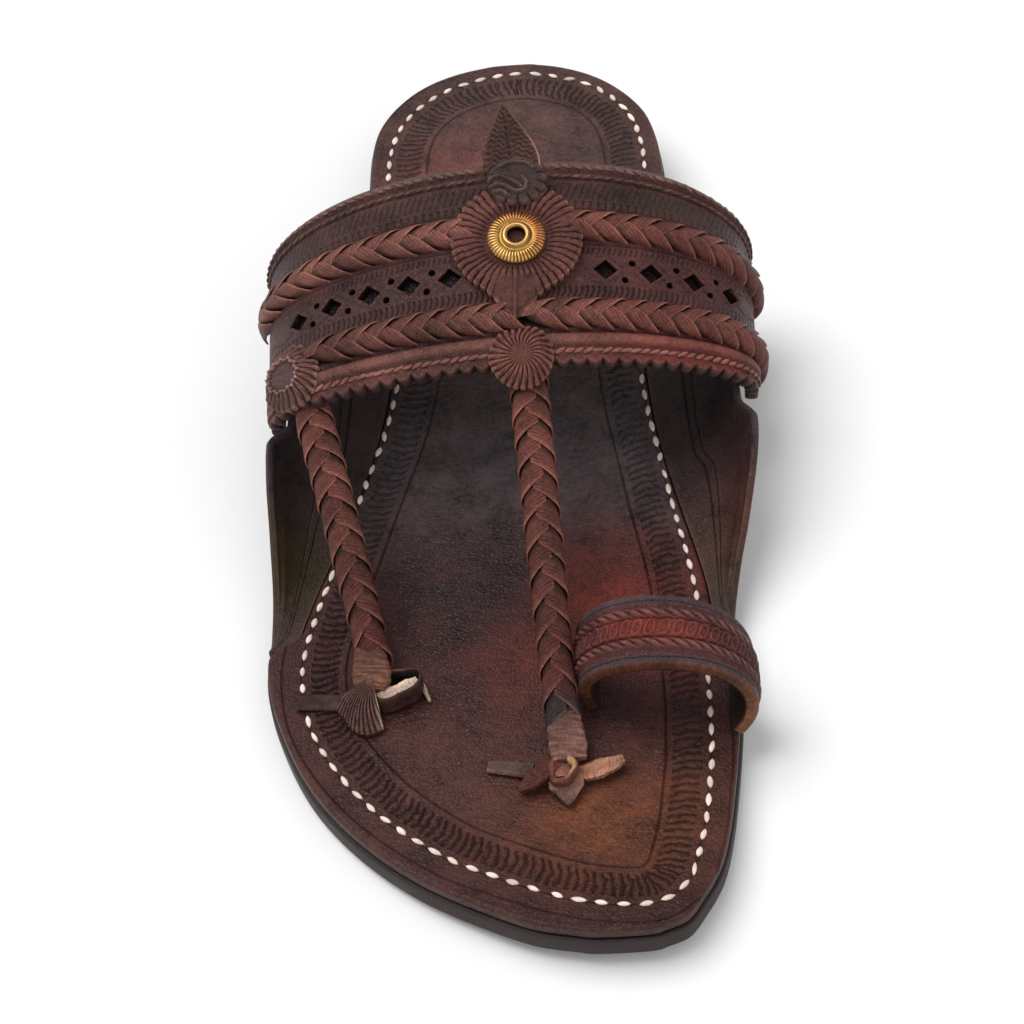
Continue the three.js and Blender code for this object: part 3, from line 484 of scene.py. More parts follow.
def joined(name, corners, faces, dye, uv=None, angle=40):
    """A mesh of separate solids, from corners in mm, faces, and a dye and UV place for each corner"""
    mesh = bpy.data.meshes.new(name)
    mesh.from_pydata((np.array(corners) * MM).tolist(), [], faces)
    piece = bpy.data.objects.new(name, mesh)
    bpy.context.collection.objects.link(piece)
    dye_mesh(mesh, dye)
    if uv is not None:
        map_mesh(mesh, np.array(uv))
    finish_mesh(piece, angle)
    return piece


def tube_faces(first, rings, around):
    """Faces that join rings of corners, from the ring whose first corner is given"""
    faces = []
    for row in range(first, first + (rings - 1) * around, around):
        for j in range(around):
            a, b = row + j, row + (j + 1) % around
            faces.append((a, b, b + around, a + around))
    return faces


def lens(rings=5, around=8):
    """Corners and faces of a lens with pointed ends along X, 1 long, 1 wide and 1 high"""
    corners = [(-0.5, 0, 0)]
    for i in range(1, rings):
        x = -0.5 + i / rings
        girth = 0.5 * math.sin(math.pi * i / rings) ** 0.7
        for j in range(around):
            a = 2 * math.pi * j / around
            corners.append((x, girth * math.cos(a), girth * math.sin(a)))
    corners.append((0.5, 0, 0))
    faces = [(0, 1 + (j + 1) % around, 1 + j) for j in range(around)]
    faces += tube_faces(1, rings - 1, around)
    last = len(corners) - 1
    faces += [(last, last - around + j, last - around + (j + 1) % around) for j in range(around)]
    return np.array(corners), faces


def sewn(name, places, headings, ups, size, dye, jitter=0.0, seed=1):
    """One mesh of many lenses: each at a place, its length along a heading and its height along an up"""
    rng = np.random.default_rng(seed)
    corners, faces = lens()
    up = unit(ups)
    ahead = unit(headings - (headings * up).sum(1, keepdims=True) * up)
    side = np.cross(up, ahead)
    swing = rng.normal(0, jitter, len(places))[:, None]
    ahead, side = ahead * np.cos(swing) + side * np.sin(swing), side * np.cos(swing) - ahead * np.sin(swing)
    scale = np.asarray(size) * (1 + rng.normal(0, jitter * 0.6, (len(places), 3)))
    local = corners[None] * scale[:, None]
    points = places[:, None] + local[..., :1] * ahead[:, None] + local[..., 1:2] * side[:, None]
    points = points + local[..., 2:] * up[:, None]
    all_faces = [tuple(c + k * len(corners) for c in face) for k in range(len(places)) for face in faces]
    shade = 1 + rng.normal(0, 0.08, len(places))
    colours = (dye[None] * shade[:, None]).repeat(len(corners), axis=0)
    return joined(name, points.reshape(-1, 3), all_faces, colours, angle=60)


def thread_places():
    count = round(STITCH_LENGTH / STITCH_PITCH)
    index = (np.arange(count) * len(STITCHES) / count).astype(int)
    places = STITCHES[index]
    run = np.roll(STITCHES, -2, axis=0)[index] - np.roll(STITCHES, 2, axis=0)[index]
    hidden = (np.abs(places[:, 1] - PEG_ROOT_Y) < PEG_ROOT_HALF) & (places[:, 0] < 0)
    places, run = places[~hidden], run[~hidden]
    slope = insole_top(places[:, 1] + 1) - insole_top(places[:, 1] - 1)
    ups = np.column_stack([0 * slope, -slope / 2, 1 + 0 * slope])
    heights = insole_top(places[:, 1]) + STITCH_LIFT
    return np.column_stack([places, heights]), np.column_stack([run, 0 * slope]), ups


def waxed_thread(name):
    """Waxed cotton thread: a matt cream with fine twisted strands, brown with wax in places"""
    material, tree, shader, place, dye = blank_material(name)
    dirt = add(tree, "TexNoise", {"Scale": 1 / (2 * MM), "Detail": 3}, {"Vector": place})
    soiled = {"From Min": 0.3, "From Max": 0.6, "To Min": 0.75, "To Max": 1.05}
    shade = add(tree, "MapRange", soiled, {"Value": dirt})
    colour = add(tree, "VectorMath", {"operation": "SCALE"}, {0: dye, "Scale": shade})
    strands = {"Scale": 320, "Distortion": 1.5, "bands_direction": "DIAGONAL"}
    twist = add(tree, "TexWave", strands, {"Vector": place})
    bump = add(tree, "Bump", {"Strength": 0.5, "Distance": 0.1 * MM}, {"Height": twist})
    finish_with(tree, shader, Base_Color=colour, Normal=bump)
    shader.inputs["Roughness"].default_value = 0.7
    return material


cream_thread = waxed_thread("waxed cream cotton thread")
stitches = sewn("saddle_stitches", *thread_places(), STITCH_SIZE, linear("#e8d5c8"), jitter=0.15)
wear(stitches, cream_thread, "insole_leather", "insole")


# EARS
# Two flaps of the same hide that rise from the sole beside the instep and lap inside the band. They are
# smooth and nearly black, with a painted olive highlight where they turn to the forefoot, and a double line
# scored above the seam.
EAR_WALL = 2.4
EAR_RISE = 22
EAR_FLARE = (8, 13)
# Shares of the way out and up where the ear's curve bends, and how much thinner its free edge is
EAR_BEND = (0.86, 0.12)
EAR_SKIVE = 0.35
EAR_MAP_RISE = 30
BAND_REACH = {"lateral": 60.6, "medial": 54.8}
# Upper edge of the ears: share of the ear's length, lateral and medial shares of the band's reach, rise
EAR_ROWS = [
    (0, 0.86, 0.88, 0.6), (0.1, 0.94, 0.94, 0.96), (0.42, 0.98, 0.96, 1), (0.54, 0.99, 0.955, 0.84),
    (0.68, 0.985, 0.905, 0.5), (0.82, 0.98, 0.845, 0.22), (0.94, 0.987, 0.81, 0.05), (1, 0.995, 0.805, 0),
]
INSTEP_HEIGHT = 60.8
FRONT_HEIGHT = 45.9
SPRING_HEIGHT = 23
BAND_EDGE_HEIGHT = 18.5
BAND_CROWN_X = 0.6
BAND_WALL = 3
BAND_BACK = 90
BAND_SIDE_BACK = 84
BAND_RUN = 50.2
BAND_SIDE_RUN = 46.5
BAND_SKEW = 1.3
BAND_NARROWING = 0.02
ARCH_FULLNESS = 2.15


def band_inside(side, y, height):
    """How far out the band's inner face stands at a height"""
    down = np.clip((HEEL_BACK - BAND_SIDE_BACK - y) / BAND_SIDE_RUN, 0, 1)
    top = INSTEP_HEIGHT + (FRONT_HEIGHT - INSTEP_HEIGHT) * down
    crown = -BAND_CROWN_X if side == "lateral" else BAND_CROWN_X
    above = np.clip((height - SPRING_HEIGHT) / (top - SPRING_HEIGHT), 0, 1)
    out = (1 - above**ARCH_FULLNESS) ** (1 / ARCH_FULLNESS)
    reach = (BAND_REACH[side] - crown) * (1 - BAND_NARROWING * down**2)
    return crown + reach * out - BAND_WALL - 2 * CLEARANCE


def paired(first, second):
    """Two grids of values as one grid of pairs"""
    return np.stack(np.broadcast_arrays(first, second), -1)


def ear_dye(points):
    """Nearly black, with a painted olive highlight in front of the band, brown at its end, and red beside the
    big toe
    """
    y, z = points[..., 1], points[..., 2]
    dye = tint("#372728", "#2e2426", ease(16, 26, z))
    # Painted olive highlight where the ear turns out to the forefoot
    dye = tint(dye, "#302513", 0.9 * ease(-108, -128, y) * ease(-152, -136, y))
    dye = tint(dye, "#3d2c29", 0.9 * ease(-134, -148, y))
    return tint(dye, "#4a2b28", 0.7 * spot(points, 45, -122, 12, 14))


def ear(side):
    outward = -1 if side == "lateral" else 1
    column = 1 if side == "lateral" else 2
    shares = np.linspace(0, 1, 900)
    from_heel = HEEL_BACK - smooth_line(SIDES[side], shares)[:, 1]
    shares = shares[(from_heel >= EAR_REAR) & (from_heel <= EAR_FRONT - EAR_TAPER / 3)]
    rows = np.array(EAR_ROWS)
    spread = np.linspace(0, 1, 400)
    shape = smooth_line(rows, spread)
    length = np.linspace(0, 1, len(shares))
    free, rise = (np.interp(length, shape[:, 0], shape[:, i]) for i in (column, 3))
    foot = sole_edge(side, shares, insole_inset(side, shares) - CLEARANCE)
    edge = sole_edge(side, shares, 0 * shares)
    base = outsole_top(foot[:, 1]) + CLEARANCE
    rise = np.maximum(rise, 0) * EAR_RISE
    free = free * BAND_REACH[side]
    lapped = np.minimum(free, band_inside(side, foot[:, 1], base + rise))
    past = HEEL_BACK - foot[:, 1] - BAND_SIDE_BACK - BAND_SIDE_RUN
    reach = lapped + (free - lapped) * ease(*EAR_FLARE, past)
    low = np.column_stack([np.abs(foot[:, 0]), base])
    high = np.column_stack([np.maximum(reach, low[:, 0] + INSOLE_ROUNDING), base + rise])
    bend = np.column_stack([low[:, 0] + (high[:, 0] - low[:, 0]) * EAR_BEND[0], base + rise * EAR_BEND[1]])
    outer, inner, runs = [], [], np.linspace(0, 1, 26)
    for t in runs:
        place = (1 - t) ** 2 * low + 2 * t * (1 - t) * bend + t * t * high
        heading = unit((1 - t) * (bend - low) + t * (high - bend))
        y = foot[:, 1] + (edge[:, 1] - foot[:, 1]) * t
        lean = np.column_stack([-heading[:, 1], heading[:, 0]])
        lean = lean * ease(0, 0.12, t) + np.array([0, 1]) * (1 - ease(0, 0.12, t))
        thin = EAR_WALL * (1 - EAR_SKIVE * ease(0.8, 1, t))
        outer.append(np.column_stack([outward * place[:, 0], y, place[:, 1]]))
        lifted = place + lean * thin
        inner.append(np.column_stack([outward * lifted[:, 0], y, lifted[:, 1]]))
    middle = (outer[-1] + inner[-1]) / 2
    tip = middle + (outer[-1] - outer[-2]) * 0.5
    rim = [(outer[-1] + 2 * tip) / 3, tip, (inner[-1] + 2 * tip) / 3]
    points = np.stack([*outer, *rim, *inner[::-1], outer[0]], 1)
    up = np.concatenate([-runs, [-1.05, 0, 1.05], runs[::-1], [-1]]) * EAR_MAP_RISE
    uv = paired(points[..., 1], up)
    return laid("ear_" + side + "_hide", points, uv, ear_dye(points), angle=50)


# Smooth hide, nearly black, with a soft waxy shine and two scored lines
ear_leather = oiled_leather(
    "smooth oiled ear hide", grain=0.6, grain_depth=0.07, wrinkle=0.22, mottle=0.5, gloss=0.36,
    lines=[(9.0, 1.0, 0.3), (11.6, 1.0, 0.25)],
)
for side in ("lateral", "medial"):
    wear(ear(side), ear_leather, "ear_leather", "ear_" + side)


# BAND
# The instep strap: several thicknesses of hide, moulded over the last and sewn to the ears' roots. It is
# tooled all over, folded at its back edge, pinked at its front one, and punched with a row of diamonds.
ARCH_STEPS = 40
BAND_SLOPE = math.hypot(BAND_RUN, INSTEP_HEIGHT - FRONT_HEIGHT)
DIAMOND_WIDTH = 5.6
DIAMOND_LENGTH = 5.2
DIAMOND_PLACE = 28.4
# Middles of the diamonds across the band, five to the lateral side of the medallion and four to the other
DIAMONDS = [-15.8 - 9.7 * i for i in range(5)] + [20 + 10.7 * i for i in range(4)]
SMALL_HOLE = 1.7
# Small holes between two diamonds: how far across and down from the point midway each one is
SMALL_HOLES = ((0.8, -2.2), (-0.8, 2.4))
PUNCH_DEPTH = 1.9
CUT_COLOUR = "#2a1613"
# A place on the UV map that no tool mark reaches
OFF_THE_MARKS = 80.0
UPPER_PLAIT = 17.2
LOWER_PLAIT = 40.3
TOOTH_PITCH = 3.9
TOOTH_DEPTH = 1.5
# What is worked into the band, at places down from its folded edge
BACK_FOLD = 1.3
SCORED_LINES = (4.4, 12.4, 21.7, 36.2, 44.5)
TOOLED_ROW = 8.4
RAISED_STRIP = (44.9, 48.4)
PINKED_FOLD = 49.7
# Where the band turns down at the big toe's side and is stained a dark red, across from its crown
MEDIAL_STAIN = (50, 72)


def band_place(share, down):
    """The band's surface at a share across, from -1 at its lateral edge to 1, and at a share down"""
    share, down = np.broadcast_arrays(np.asarray(share, float), np.asarray(down, float))
    side = np.where(share < 0, -1.0, 1.0)
    top = INSTEP_HEIGHT + (FRONT_HEIGHT - INSTEP_HEIGHT) * down
    reach = np.where(share < 0, BAND_REACH["lateral"], BAND_REACH["medial"]) - side * BAND_CROWN_X
    reach = side * reach * (1 - BAND_NARROWING * down**2)
    angle = np.linspace(0, math.pi / 2, ARCH_STEPS + 1)
    out = np.append(np.sin(angle) ** (2 / ARCH_FULLNESS), 1)
    up = np.append(np.maximum(np.cos(angle), 0) ** (2 / ARCH_FULLNESS), 0)
    x = BAND_CROWN_X + reach[..., None] * out
    z = SPRING_HEIGHT + (top - SPRING_HEIGHT)[..., None] * up
    z[..., -1] = BAND_EDGE_HEIGHT
    run = np.zeros(x.shape)
    run[..., 1:] = np.cumsum(np.hypot(np.diff(x), np.diff(z)), -1)
    target = np.abs(share) * run[..., -1]
    at = np.clip((run < target[..., None]).sum(-1), 1, run.shape[-1] - 1)[..., None]
    before, after = (np.take_along_axis(run, at - n, -1)[..., 0] for n in (1, 0))
    t = (target - before) / (after - before)
    place = []
    for line in (x, z):
        low, high = (np.take_along_axis(line, at - n, -1)[..., 0] for n in (1, 0))
        place.append(low + (high - low) * t)
    crown_y = HEEL_BACK - BAND_BACK - BAND_RUN * down
    side_y = HEEL_BACK - BAND_SIDE_BACK - BAND_SIDE_RUN * down
    bow = np.minimum(np.abs(share), 1) ** 4
    y = crown_y + (side_y - crown_y) * bow + BAND_SKEW * share * down
    return np.stack([place[0], y, place[1]], -1)


def half_arch(side):
    fine = band_place(side * np.linspace(0, 1, 300), 0.5)
    return np.linalg.norm(np.diff(fine[:, ::2], axis=0), axis=1).sum()


ARCH = {"lateral": half_arch(-1), "medial": half_arch(1)}


def band_frame(across, down):
    """Place, across, down and outward directions on the band, at mm across its crown and mm down it"""
    across, down = np.broadcast_arrays(np.asarray(across, float), np.asarray(down, float))
    share = across / np.where(across < 0, ARCH["lateral"], ARCH["medial"])
    step = 0.01
    ahead = band_place(share + step, down / BAND_SLOPE) - band_place(share - step, down / BAND_SLOPE)
    below = band_place(share, down / BAND_SLOPE + step) - band_place(share, down / BAND_SLOPE - step)
    return band_place(share, down / BAND_SLOPE), unit(ahead), unit(below), unit(np.cross(below, ahead))


def on_band(across, down, lift):
    place, *_, normal = band_frame(across, down)
    return place + normal * np.asarray(lift)[..., None]


def band_relief(across, down):
    """Height of the folds, lines and raised strips that are worked into the band"""
    lift = 0.9 * hump(down, BACK_FOLD, 1.6) + 0.35 * hump(down, 3.4, 0.9) + 0 * across
    for line in SCORED_LINES:
        lift -= 0.35 * hump(down, line, 0.5)
    lift -= 0.5 * hump(down, UPPER_PLAIT, 4.4) + 0.5 * hump(down, LOWER_PLAIT, 4.2)
    back, front = RAISED_STRIP
    lift += 0.75 * ease(back, back + 0.6, down) * (1 - ease(front - 0.7, front, down))
    lift += 0.3 * hump(down, PINKED_FOLD, 1.0)
    for middle in DIAMONDS:
        apart = np.abs(across - middle) / DIAMOND_WIDTH + np.abs(down - DIAMOND_PLACE) / DIAMOND_LENGTH
        lift += 0.35 * hump(apart, 0.62, 0.14)
    # The lattice of arcs pressed between the diamonds
    arc = np.abs(np.sin((across - DIAMONDS[0]) * math.pi / 9.9))
    lift -= 0.22 * hump(np.abs(down - DIAMOND_PLACE), 1.2 + 2.3 * arc, 0.5) * (np.abs(across) > 12)
    return lift


def band_dye(across, down):
    """Grey-brown, redder to the big toe's side and at the front strips, dark in the tooled rows, with painted
    shade in the plaits' channels and a painted highlight along the raised front strip
    """
    dye = tint("#462f2c", "#4a2c29", ease(-20, 45, across))
    front_strips = ease(RAISED_STRIP[0] - 0.5, RAISED_STRIP[0] + 0.5, down)
    dye = tint(dye, "#3d2b29", 0.7 * hump(down, TOOLED_ROW, 5))
    dye = tint(dye, "#54352f", 0.9 * front_strips)
    dye = tint(dye, "#652c26", 0.75 * front_strips * ease(0, 40, across))
    dye = tint(dye, "#421b1b", 0.85 * ease(*MEDIAL_STAIN, across))
    dye = tint(dye, "#342b20", 0.6 * hump(down, TOOLED_ROW, 6) * hump(across, 32, 26))
    dye = tint(dye, "#553730", 0.7 * hump(down, BACK_FOLD, 2))
    # Painted shade in the channels along both plaits
    dye = tint(dye, "#170e0d", 0.8 * hump(down, UPPER_PLAIT, 4.6) + 0.8 * hump(down, LOWER_PLAIT, 4.4))
    # The whole band is a little warmer than its dyes
    dye = dye * (1, 0.93, 0.93)
    # Painted highlight along the crown of the raised front strip
    return tint(dye, "#7a5247", 0.5 * hump(down, 46.6, 1.2))


def scallop(across):
    return TOOTH_DEPTH * (1 - np.abs(np.sin(across * math.pi / TOOTH_PITCH)) ** 0.8)


def wall_section(length, wall, bulge, over, under):
    """A strap's section, from back to front over its outside and then back along its lining. Gives places
    down it, heights from the outside, and which of them are on the outside and which on the lining."""
    turns = np.linspace(0, math.pi, 7)[1:-1]
    front = [(length + bulge * math.sin(a), -wall / 2 * (1 - math.cos(a))) for a in turns]
    lining = [(down, -wall) for down in np.linspace(length, 0, under)]
    back = [(-bulge * math.sin(a), -wall / 2 * (1 + math.cos(a))) for a in turns]
    section = [(down, 0) for down in np.linspace(0, length, over)] + front + lining + back + [(0, 0)]
    index = np.arange(len(section))
    outside = (index < over) | (index == len(section) - 1)
    lined = (index >= over + len(turns) - 1) & ~outside
    return (*np.array(section).T[:, None], outside[None], lined[None])


def band_skin():
    across = np.linspace(-ARCH["lateral"], ARCH["medial"], 400)[:, None]
    down, lift, outside = wall_section(BAND_SLOPE, BAND_WALL, BAND_WALL / 4, 112, 16)[:3]
    relief = np.where(outside, band_relief(across, down), 0)
    cut = scallop(across) * ease(BAND_SLOPE - 3.2, BAND_SLOPE - 0.4, down)
    points = on_band(across + 0 * down, down - cut, lift + relief)
    uv = paired(across, np.where(outside, down, OFF_THE_MARKS))
    dye = band_dye(across + 0 * down, down + 0 * across)
    dye = np.where(outside[..., None], dye, linear("#3a2a26"))
    return laid("band_hide", points, uv, dye, angle=50)


def punch(name, outlines):
    """Closed cutters through the band's outer hide down to its lining, one for each outline"""
    corners, faces = [], []
    for outline in outlines:
        count = len(outline)
        first = len(corners)
        for lift in (-PUNCH_DEPTH, BAND_WALL):
            corners += on_band(outline[:, 0], outline[:, 1], np.full(count, lift)).tolist()
        faces.append([first + i for i in range(count)])
        faces.append([first + count + i for i in reversed(range(count))])
        for i in range(count):
            j = (i + 1) % count
            faces.append([first + j, first + i, first + count + i, first + count + j])
    cutter = joined(name, corners, faces, linear(CUT_COLOUR), np.full((len(corners), 2), OFF_THE_MARKS))
    cutter.data.materials.append(band_leather)
    return cutter


def cut_out(piece, cutter):
    """Cuts one closed mesh out of another"""
    bpy.ops.object.select_all(action="DESELECT")
    bpy.context.view_layer.objects.active = piece
    piece.select_set(True)
    cut = piece.modifiers.new("cut", "BOOLEAN")
    cut.object = cutter
    cut.solver = "MANIFOLD"
    bpy.ops.object.modifier_apply(modifier="cut")
    bpy.data.objects.remove(cutter)


def darken_cuts(piece):
    """The punched edges, whose new corners have no dye yet, are stained nearly black"""
    dye = piece.data.color_attributes["dye"].data
    for corner in dye:
        if min(corner.color[:3]) > 0.9 or max(corner.color[:3]) == 0:
            corner.color = (*linear(CUT_COLOUR), 1)


def diamond_outlines():
    outlines = []
    for middle in DIAMONDS:
        corner = np.array([(-0.5, 0), (0, -0.5), (0.5, 0), (0, 0.5)])
        outlines.append(np.array([middle, DIAMOND_PLACE]) + corner * (DIAMOND_WIDTH, DIAMOND_LENGTH))
    turn = np.linspace(0, 2 * math.pi, 11)[:-1]
    ring = np.column_stack([np.cos(turn), np.sin(turn)]) * SMALL_HOLE / 2
    for first, second in zip(DIAMONDS[:4] + DIAMONDS[5:8], DIAMONDS[1:5] + DIAMONDS[6:9]):
        for shift, rise in SMALL_HOLES:
            outlines.append(ring + ((first + second) / 2 + shift, DIAMOND_PLACE + rise))
    return outlines


# Hide with rows of stamped marks, dark and dull down in the cuts, where dye gathers and painted shade is
# added, and rubbed to a shine between them
band_leather = oiled_leather(
    "tooled band hide", grain=0.7, grain_depth=0.12, wrinkle=0.2, mottle=0.6, gloss=0.46,
    rows=[(5.2, 9.8, 1.5, 0.35, 0.3, 0, 0.6, 0.4), (10.2, 12.0, 1.7, 0, 0.4, 0.25, 0.7, 0.3),
          (22.5, 24.4, 1.25, 0.3, 0.35, 0.3, 0.8, 0.4), (32.6, 35.8, 1.35, 0.15, 0.45, 0.18, 0.9, 0.5)],
)
band = band_skin()
band.data.materials.append(band_leather)
cut_out(band, punch("punches", diamond_outlines()))
darken_cuts(band)
bpy.ops.object.shade_smooth_by_angle(angle=math.radians(50))
wear(band, band_leather, "band_leather", "upper")


# PLAITS
# Flat thongs plaited herringbone fashion: each comes round the edge, crosses to the middle and dives under
# the next one from the other side. Two plaits lie across the band, and two run from it to the toes.
PLAIT_HALF = 3.3
PLAIT_HEIGHT = 2.3
PLAIT_PITCH = 5.4
PLAIT_SLANT = 6.2
PLAIT_SEAT = 0.1
PLAIT_TURN = (-20, 108)


def rounder(value, power):
    """A sine or cosine raised to a power with its sign kept, which makes a circle squarer"""
    return np.copysign(abs(value) ** power, value)


def thongs(name, spine, half, height, starts, pitch, slant, turn, dye, seed):
    """Plaited thongs as one mesh. spine gives place, sideways and up at lengths along the plait, half and
    height give its section there, and turn is how far round the section a thong runs, in degrees."""
    rng = np.random.default_rng(seed)
    along_thong = np.linspace(0, 1, 13)
    around = np.linspace(0, 2 * math.pi, 17)[:-1] + 0.01
    corners, faces, colours, places = [], [], [], []
    for side in (-1, 1):
        for start in starts:
            start = start + (0 if side < 0 else pitch / 2)
            first = len(corners)
            shade = 1 + rng.normal(0, 0.13)
            swing = rng.normal(0, 0.05)
            for s in along_thong:
                angle = math.radians(turn[0] + (turn[1] - turn[0]) * s)
                # Each end is narrower, and the last one dives under the next thong
                girth = pitch * 0.62 * (1 - 0.3 * float(ease(0.6, 1, s)))
                girth *= 0.72 + 0.28 * float(ease(0, 0.2, s))
                dive = 0.45 * float(ease(0.8, 1, s))
                for a in around:
                    across, through = math.cos(a), math.sin(a)
                    u = start + slant * (1 - s) ** 1.15 + girth * (across + swing)
                    place, sideways, up = spine(u)
                    lift = 0.62 * across * (1 - 0.4 * s) + 0.3 * rounder(through, 0.45)
                    lift -= dive + 0.1 * across * across
                    x = side * math.cos(angle) * (half(u) + lift)
                    z = rounder(math.sin(angle), 0.75) * (height(u) + lift)
                    corners.append(place + sideways * x + up * z)
                    places.append((u, girth * across + 0.3 * math.sin(s * 5 + start)))
                    # The raised free edge of each thong shows its lighter cut edge with a painted highlight,
                    # and the side tucked under the next thong gets a painted shadow
                    lit = float(ease(0.86, 0.99, across)) * 0.45
                    tucked_shadow = float(ease(-0.05, -0.6, across)) * 0.9
                    cut_edge_and_highlight = tint(dye(u) * shade, "#84594b", lit)
                    colours.append(tint(cut_edge_and_highlight, "#1c0f0d", tucked_shadow))
            count = len(around)
            faces += tube_faces(first, len(along_thong), count)
            last = first + (len(along_thong) - 1) * count
            faces.append([first + j for j in reversed(range(count))])
            faces.append([last + j for j in range(count)])
    return joined(name, corners, faces, colours, places, angle=55)


def band_plait(name, down, left, right, seed):
    """A plait laid across the band between two places, tucked under the rosettes at its ends"""
    def spine(u):
        place, _, below, normal = band_frame(u, down)
        return place + normal * PLAIT_SEAT, below, normal

    def dye(u):
        base = tint("#6e443c", "#63362e", ease(-10, 40, u))
        if down > UPPER_PLAIT:
            base = tint(base, "#4e2c27", 0.7 * ease(0, -30, u))
        return tint(base, "#4a1f1c", 0.75 * ease(*MEDIAL_STAIN, u))

    starts = np.arange(left, right - PLAIT_SLANT, PLAIT_PITCH)
    return thongs(
        name, spine, lambda u: PLAIT_HALF, lambda u: PLAIT_HEIGHT, starts, PLAIT_PITCH, PLAIT_SLANT,
        PLAIT_TURN, dye, seed,
    )


# Narrow thongs cut from the same hide, waxed, with lines drawn along them
thong_leather = oiled_leather(
    "plaited thong hide", grain=0.55, grain_depth=0.12, wrinkle=0.2, mottle=0.55, gloss=0.44,
    lines=[(0.4, 0.5, 0.16), (1.35, 0.35, 0.2), (2.3, 0.45, 0.14)],
)
for plait in (
    band_plait("upper_plait_lateral", UPPER_PLAIT, -ARCH["lateral"] + 2, -7, seed=3),
    band_plait("upper_plait_medial", UPPER_PLAIT, 9, ARCH["medial"] - 1, seed=4),
    band_plait("lower_plait_lateral", LOWER_PLAIT, -52, 2.6, seed=5),
    band_plait("lower_plait_medial", LOWER_PLAIT, 0.4, ARCH["medial"] - 1, seed=6),
):
    wear(plait, thong_leather, "band_leather", "upper")


# PLAITED STRAPS
# Round plaits of the same thongs, pulled through the band's front edge, that run down to the knots between
# the toes. A dark core shows in the gaps between the thongs.
STRAP_WIDTH = 8.7
STRAP_THICKNESS = 4.4
STRAP_NARROWING = 0.16
STRAP_PITCH = 6.6
STRAP_SLANT = 8.2
STRAP_TURN = (-80, 110)
STRAP_BOW = 3.5
STRAP_TUCK = 1.3
STRAP_DEPTH = 3.3
STRAP_END_HEIGHT = 5.6
# Root across the band, end to the big toe's side and from the heel, and colour at the end
STRAPS = {
    "centre": {"across": 0.8, "end": (4.9, 217), "last": "#332a2c"},
    "outer": {"across": -56.5, "end": (-35.6, 196), "last": "#4d2522"},
}


def strap_ends(strap):
    start = on_band(strap["across"], BAND_SLOPE - STRAP_TUCK, -STRAP_DEPTH)
    x, from_heel = strap["end"]
    y = HEEL_BACK - from_heel
    return start, np.array([x, y, insole_top(y) + STRAP_END_HEIGHT])


def strap_spine(strap):
    """Place, sideways and up at a length along the strap, and its whole length"""
    start, end = strap_ends(strap)
    middle = (start + end) / 2 + np.array([0, 0, 2 * STRAP_BOW])
    length = np.linalg.norm(end - start) * 1.01
    sideways = unit(np.cross(end - start, (0, 0, 1)))

    def spine(u):
        t = u / length
        place = (1 - t) ** 2 * start + 2 * t * (1 - t) * middle + t * t * end
        heading = (1 - t) * (middle - start) + t * (end - middle)
        return place, sideways, unit(np.cross(sideways, heading))

    return spine, length


def strap_core(name, strap):
    spine, length = strap_spine(strap)
    rings = []
    turns = np.linspace(0, 2 * math.pi, 17)
    for u in np.linspace(0, length, 40):
        place, sideways, up = spine(u)
        narrow = 0.8 * (1 - STRAP_NARROWING * u / length)
        x = np.cos(turns)[:, None] * sideways * STRAP_WIDTH / 2 * narrow
        z = np.sin(turns)[:, None] * up * STRAP_THICKNESS / 2 * narrow
        rings.append(place + x + z)
    points = np.array(rings)
    return laid(name, points, points[..., :2].copy(), linear("#2a1715"))


def strap_plait(name, strap, seed):
    spine, length = strap_spine(strap)

    def half(u):
        return STRAP_WIDTH / 2 * (1 - STRAP_NARROWING * u / length) - 0.3

    def dye(u):
        along_strap = tint("#5e352d", "#4c2721", ease(0, length, u))
        return tint(along_strap, strap["last"], ease(length - 9, length - 2, u))

    starts = np.arange(-STRAP_SLANT * 0.3, length - STRAP_SLANT * 0.7, STRAP_PITCH)
    return thongs(
        name, spine, half, lambda u: STRAP_THICKNESS / 2 - 0.2, starts, STRAP_PITCH, STRAP_SLANT,
        STRAP_TURN, dye, seed,
    )


for number, (name, strap) in enumerate(STRAPS.items()):
    wear(strap_core(name + "_strap_core", strap), thong_leather, "band_leather", "upper")
    wear(strap_plait(name + "_strap_plait", strap, seed=10 + number), thong_leather, "band_leather", "upper")


# TOE RING
# A loop of thick tooled hide for the big toe, let into slots in the insole. Its cut edges are left raw and
# show tan, and a row of pressed ovals runs between two rows of twisted stitches.
RING_WALL = 3
RING_WIDTH = 38.2
RING_HEIGHT = 25.3
RING_FRONT_DROP = 4.5
RING_CENTRE_X = 27.8
RING_SPRING = 8
RING_LEG_SHARE = 0.24
RING_TUCK = (1.6, 3.4)
RING_BASE_FROM_HEEL = (194, 205.5)
RING_BASE_DEPTH = (15.5, 13)
RING_BORDER = 2.3
RING_ARC = 84
RING_MARK_PITCH = 2.8
# Distances from the ring's middle line: its rows of stitches, and its scored lines with their depths
RING_STITCH_ROW = 3.5
RING_SCORED_LINES = ((2.2, 0.35), (4.9, 0.3))


